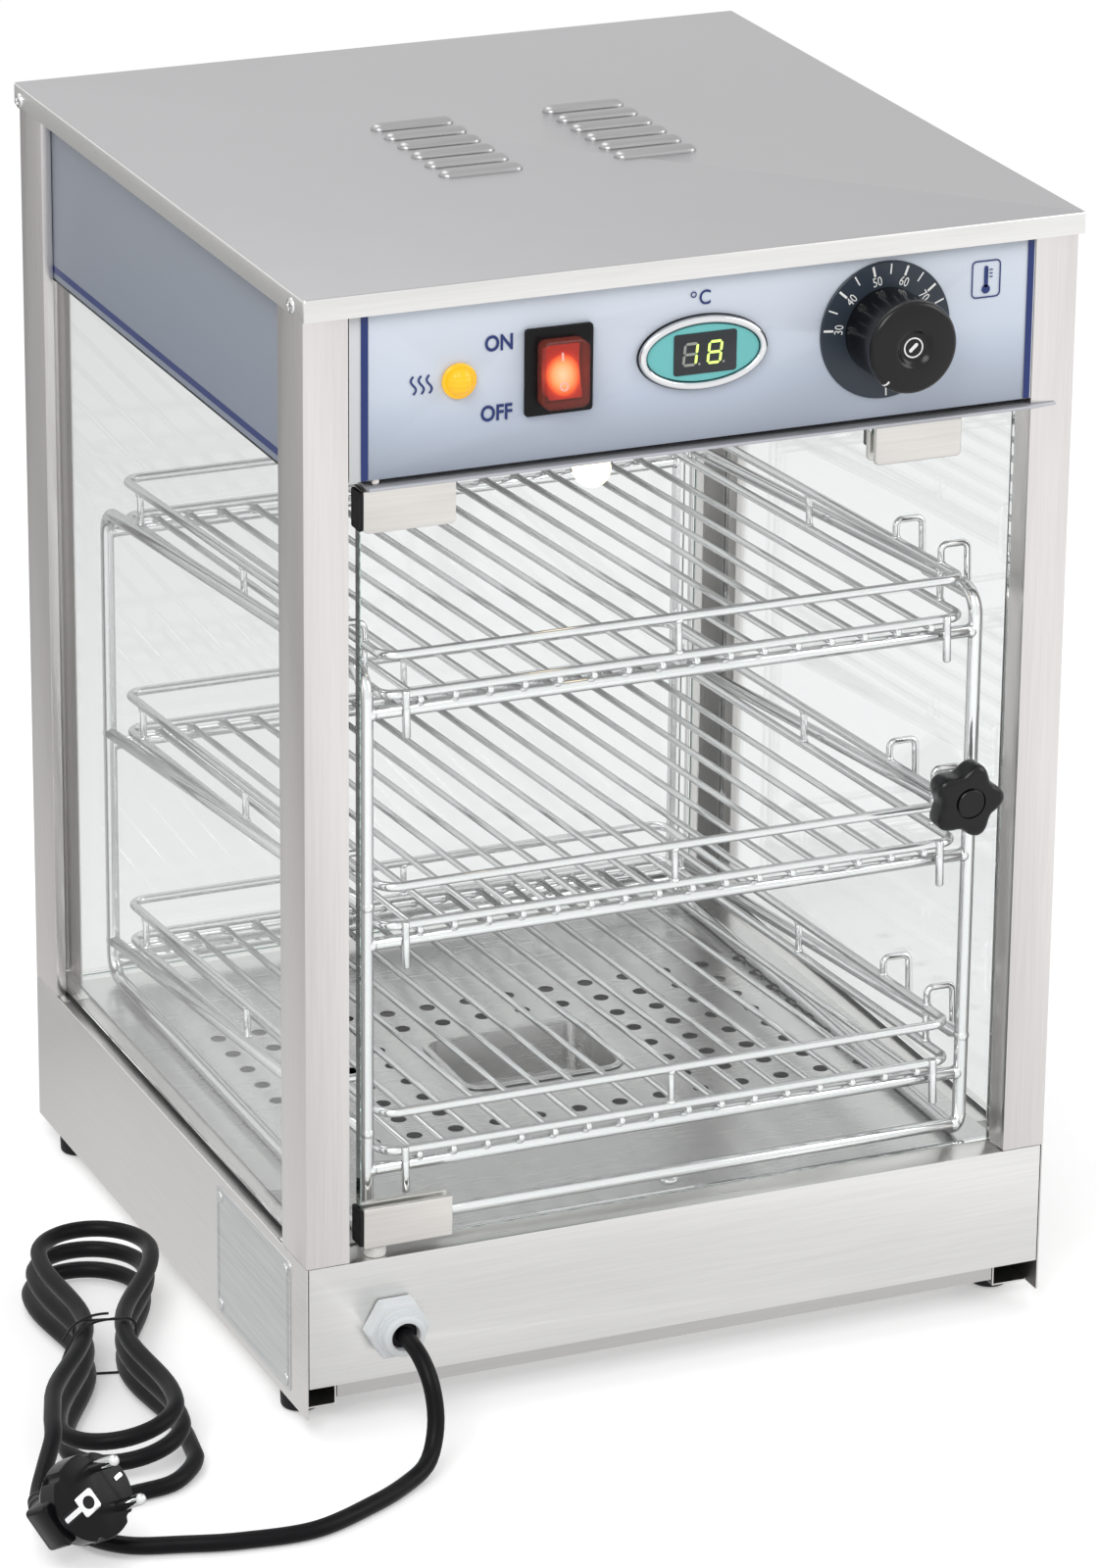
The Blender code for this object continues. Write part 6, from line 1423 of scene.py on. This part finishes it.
def makeDoorKnob():
    # five-lobed outline: radius plus lobe times the cosine of five times the angle, eased front
    # and back, and a
    # round cap inside a groove
    f = doorForm
    radius, early, late = f["radius"], f["backEase"], f["frontEase"]
    seat = f["plane"] - f["glassHalf"] - f["gap"]
    neck = seat - f["neck"]
    front = neck - f["thick"]
    reach = radius + f["lobe"] * np.cos(f["lobes"] * (np.linspace(0, 2 * np.pi, 140,
                                                                  endpoint=False) - f["lean"]))
    rows = [(0.0, neck), *quarterArc((1 - early / radius, neck - early), (early / radius, early), 6, True),
            *quarterArc((1 - late / radius, front + late), (late / radius, -late), 6)]
    loops = [reach * share for share, _ in rows] + [np.full(140, capRadius) for capRadius, _ in f["cap"]]
    stations = [y for _, y in rows] + [front - lift for _, lift in f["cap"]]
    centre = (f["knob"][0], 0, f["knob"][1])
    star = stackOutlines(np.array(loops)[..., None] * unitCircle(140)[:, ::-1], "Y", stations, centre,
                         "open")
    stem = lathe([(0, seat), (0.0070, seat), (0.0070, neck + 0.0006), (0.0064, neck - 0.0006),
                  (0, neck - 0.0006)],
                 "Y", centre, 40)
    putMesh("doorGrip", [star, stem], knobPlastic, "door_knob", body="door", sharp=30)
    back = f["plane"] + f["glassHalf"] + f["gap"]
    stud = lathe([(0, seat - 0.0006), (0.003, seat - 0.0006), (0.003, back), (0.006, back),
                  (0.006, back + 0.0012),
                  (0.0055, back + 0.0024), (0.0042, back + 0.0033), (0, back + 0.0036)], "Y", centre, 40)
    putMesh("doorStud", stud, plating, "door_stud", body="door", sharp=30)


def makeBush():
    # knurled ring: radius with a fine cosine round it, plain at both ends
    low, high = doorForm["bush"]
    radius, station, knurl = np.array([(0.0023, low, 0), (0.0040, low, 0), (0.0045, low + 0.0005, 0),
                                       (0.00455, low + 0.0008, 1), (0.00455, high - 0.0008, 1),
                                       (0.0045, high - 0.0005, 0), (0.0040, high, 0), (0.0023, high, 0)]).T
    wave = doorForm["knurl"] * np.cos(doorForm["knurls"] * np.linspace(0, 2 * np.pi, 160, endpoint=False))
    reach = radius[:, None] + knurl[:, None] * wave
    ring = stackOutlines(reach[..., None] * unitCircle(160), "Z", station,
                         (doorForm["hinge"], doorForm["plane"], 0),
                         "ring")
    putMesh("pivotBush", ring, bushPlastic, "hinge_bush")


def makeGaskets():
    # dark liner that shows at the hinge side of both clamps
    liners = []
    for node, below, above in (("hinge_clamp_lower", 0.0056, 0.0008),
                               ("hinge_clamp_upper", 0.0008, 0.0056)):
        low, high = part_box(node)
        bottom, top = low[2] + below, high[2] - above
        outline = roundedOutline((high[1] - low[1]) / 2 - 0.0010, (top - bottom) / 2, 0.0008, 4)
        outline += ((low[1] + high[1]) / 2, (top + bottom) / 2)
        liners.append(slab(outline, "X", low[0] - 0.0012, low[0] - 0.00005))
    putMesh("clampLiners", liners, sealRubber, body="door", offset=0)


makeDoorKnob()
makeBush()
makeGaskets()
print("door fittings made")


# Screws, rivets and the bare plate

screws = {"lid": {"places": ((-0.161, 0.489), (0.1665, 0.488)), "radius": 0.0034, "rise": 0.0013,
                  "cross": 0.0021},
          "floor": {"place": (0.005, -0.142, 0.0771), "radius": 0.0044, "rise": 0.0021, "cross": 0.0022}}
barePlate = {"y": (-0.152, -0.065), "z": (0.012, 0.072), "thick": 0.0006, "corner": 0.003, "rivet": 0.0026,
             "rivetRise": 0.0011, "inset": 0.0048, "lines": ((0.0016, 0.0006), (0.0030, 0.0004))}


def domeHead(radius, rise, cross, place):
    # round head: height is a flattened circle root, less a cross-shaped dip whose arms fade over a
    # fifth of their
    # width
    rings = np.append(np.linspace(0, 1, 20), 1.0)
    outlines = rings[:, None, None] * unitCircle(72) * radius
    z = rise * np.sqrt(np.clip(1 - (rings[:, None] * 0.97) ** 2.4, 0, 1)) + np.zeros(72)
    if cross:
        x, y = np.abs(np.moveaxis(outlines, -1, 0))
        half = cross * 0.2
        arms = [np.clip((half * 1.25 - a) / (half * 0.5), 0, 1) * np.clip((cross - b) / half, 0, 1)
                for a, b in ((x, y), (y, x))]
        z -= np.maximum(*arms) * rise * 0.75
    z[-1] = -0.0001
    faces = gridFaces(21, 72, False, True) + [tuple(range(20 * 72, 21 * 72))]
    return moved((np.concatenate([outlines, z[..., None]], -1), faces), place)


def makeScrews():
    form = screws["lid"]
    heads = []
    for side, corner in zip((-1, 1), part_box("lid")):
        for y, z in form["places"]:
            turn = Matrix.Rotation(side * math.pi / 2, 4, "Y") @ Matrix.Rotation(0.5 + y * 3, 4, "Z")
            place = Matrix.Translation((corner[0], y, z)) @ turn
            heads.append(domeHead(form["radius"], form["rise"], form["cross"], place))
    putMesh("lidScrews", heads, plating, sharp=50)
    form = screws["floor"]
    head = domeHead(form["radius"], form["rise"], form["cross"], Matrix.Translation(form["place"]))
    putMesh("floorScrew", head, plating, sharp=50)


def makeBarePlate():
    p = barePlate
    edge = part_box("base_side_left")[0][0]
    low, high = np.array([p["y"], p["z"]]).T
    middle, (halfY, halfZ) = (low + high) / 2, (high - low) / 2

    def inset(width, corner):
        return roundedOutline(halfY - width, halfZ - width, corner) + middle

    front = edge - p["thick"]
    outer = inset(0, p["corner"])
    parts = [stackOutlines([outer, outer, inset(0.0002, 0.0028)], "X", (edge, front + 0.0002, front))]
    for start, width in p["lines"]:
        rings = [inset(k, max(p["corner"] - k, 0.0005)) for k in (start, start + width)]
        parts.append(band(*rings, "X", front + 0.0001, front - 0.00012))
    for y, z in cornersOf(low + p["inset"], high - p["inset"]):
        place = Matrix.Translation((front, y, z)) @ Matrix.Rotation(-math.pi / 2, 4, "Y")
        parts.append(domeHead(p["rivet"], p["rivetRise"], 0.0, place))
    putMesh("barePlate", parts, plateMetal)


makeScrews()
makeBarePlate()
print("screws and plate made")


# Lamp under the ceiling

bulbForm = {"centre": (-0.0285, -0.128, 0), "top": 0.4134, "holder": 0.0105, "holderHigh": 0.009,
            "radius": 0.008,
            "neck": 0.0065, "length": 0.0172, "gap": 0.0003, "rib": 0.0006, "ribs": 9}


def makeBulb():
    b = bulbForm
    wide, top = b["holder"], b["top"]
    low = top - b["holderHigh"]
    ribs = [(wide - b["rib"] * (k % 2), low + 0.001 + 0.0075 * k / 8) for k in range(b["ribs"])]
    socket = [(0, low), (wide - 0.0008, low), (wide, low + 0.0006), *ribs, (wide, top), (0, top)]
    putMesh("lampSocket", lathe(socket, "Z", b["centre"]), ceramicGlaze, "lamp_holder", sharp=35)
    top = low - b["gap"]
    half = b["length"] / 2
    glass = [(0, top), (b["neck"], top), (b["neck"] + 0.0002, top - 0.0015),
             *quarterArc((0, top - half), (b["radius"], -half), 14)]
    putMesh("lampBulb", lathe(glass, "Z", b["centre"]), lampGlass, "bulb", sharp=60)


makeBulb()


# Gland and feet

gland = {"x": -0.1315, "z": 0.0455, "hex": 0.0123, "depth": 0.0077, "dome": 0.0095, "domeReach": 0.007,
         "domeBend": 0.0016, "bore": 0.0062, "stem": 0.008, "stemReach": 0.013, "cordHole": 0.0037}


def makeGland():
    # hexagon flange eased at its front, a turned nut with a thread's root, a stem through the panel
    # and a soft seal
    g = gland
    front = panel["front"]
    flange = front - g["depth"]
    tip = flange - g["domeReach"]
    dome, bore, bend, hole = g["dome"], g["bore"], g["domeBend"], g["cordHole"]
    centre = (g["x"], 0, g["z"])
    corners = np.column_stack([unitCircle(6) * g["hex"] / math.cos(math.pi / 6), np.zeros(6)])
    hexagon = arcCorners(corners, 0.0012, 5, closed=True)[:, :2]
    nut = stackOutlines([hexagon * share for share in (0.97, 1, 1, 0.955, 0.90)], "Y",
                        (front, front - 0.0004, flange + 0.0012, flange + 0.0003, flange), centre)
    ring = [(bore, flange + 0.0002), (dome + 0.0008, flange + 0.0002), (dome + 0.0008, flange - 0.0010),
            (dome, flange - 0.0014), (dome, flange - 0.0034), (dome - 0.0005, flange - 0.0037),
            (dome - 0.0002, flange - 0.0042), *quarterArc((dome - 0.0018, tip + bend), (bend, -bend), 6),
            (bore + 0.0004, tip), (bore, tip + 0.0004), (bore, flange + 0.0002)]
    start, end = front - 0.0005, front + g["stemReach"]
    stem = lathe([(0, start), (g["stem"], start), (g["stem"], end), (0, end)], "Y", centre, 40)
    putMesh("glandBody", [nut, lathe(ring, "Y", centre, 64), stem], glandPlastic, "cord_gland", sharp=32)
    seal = [(hole, flange + 0.0004), (bore + 0.0001, flange + 0.0004), (bore + 0.0001, flange - 0.0030),
            (0.0048, flange - 0.0034), (hole, flange - 0.0036), (hole, flange + 0.0004)]
    putMesh("glandSeal", lathe(seal, "Y", centre), sealRubber)


def makeFeet():
    for node in ("foot_front_left", "foot_front_right", "foot_rear_left", "foot_rear_right"):
        low, high = (np.array(corner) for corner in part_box(node))
        radius, top = (high[0] - low[0]) / 2, high[2]
        profile = [(0, 0.0006), (0.0030, 0.0006), (0.0034, 0.0),
                   *quarterArc((radius - 0.0016, 0.0014), (0.0014, -0.0014), 6, True),
                   (radius, top - 0.0008), (radius - 0.0005, top), (0, top)]
        name = "rubber" + "".join(word.capitalize() for word in node.split("_"))
        putMesh(name, lathe(profile, "Z", (*(low + high)[:2] / 2, 0)), sealRubber, node, offset=0)


makeGland()
makeFeet()
print("lamp, gland and feet made")


# Hidden parts keep their solids

for node, material in {"heating_element": heaterSheath, "thermostat_shaft": plating}.items():
    for slot in nodes[node].material_slots:
        slot.material = material
print("all pieces made")
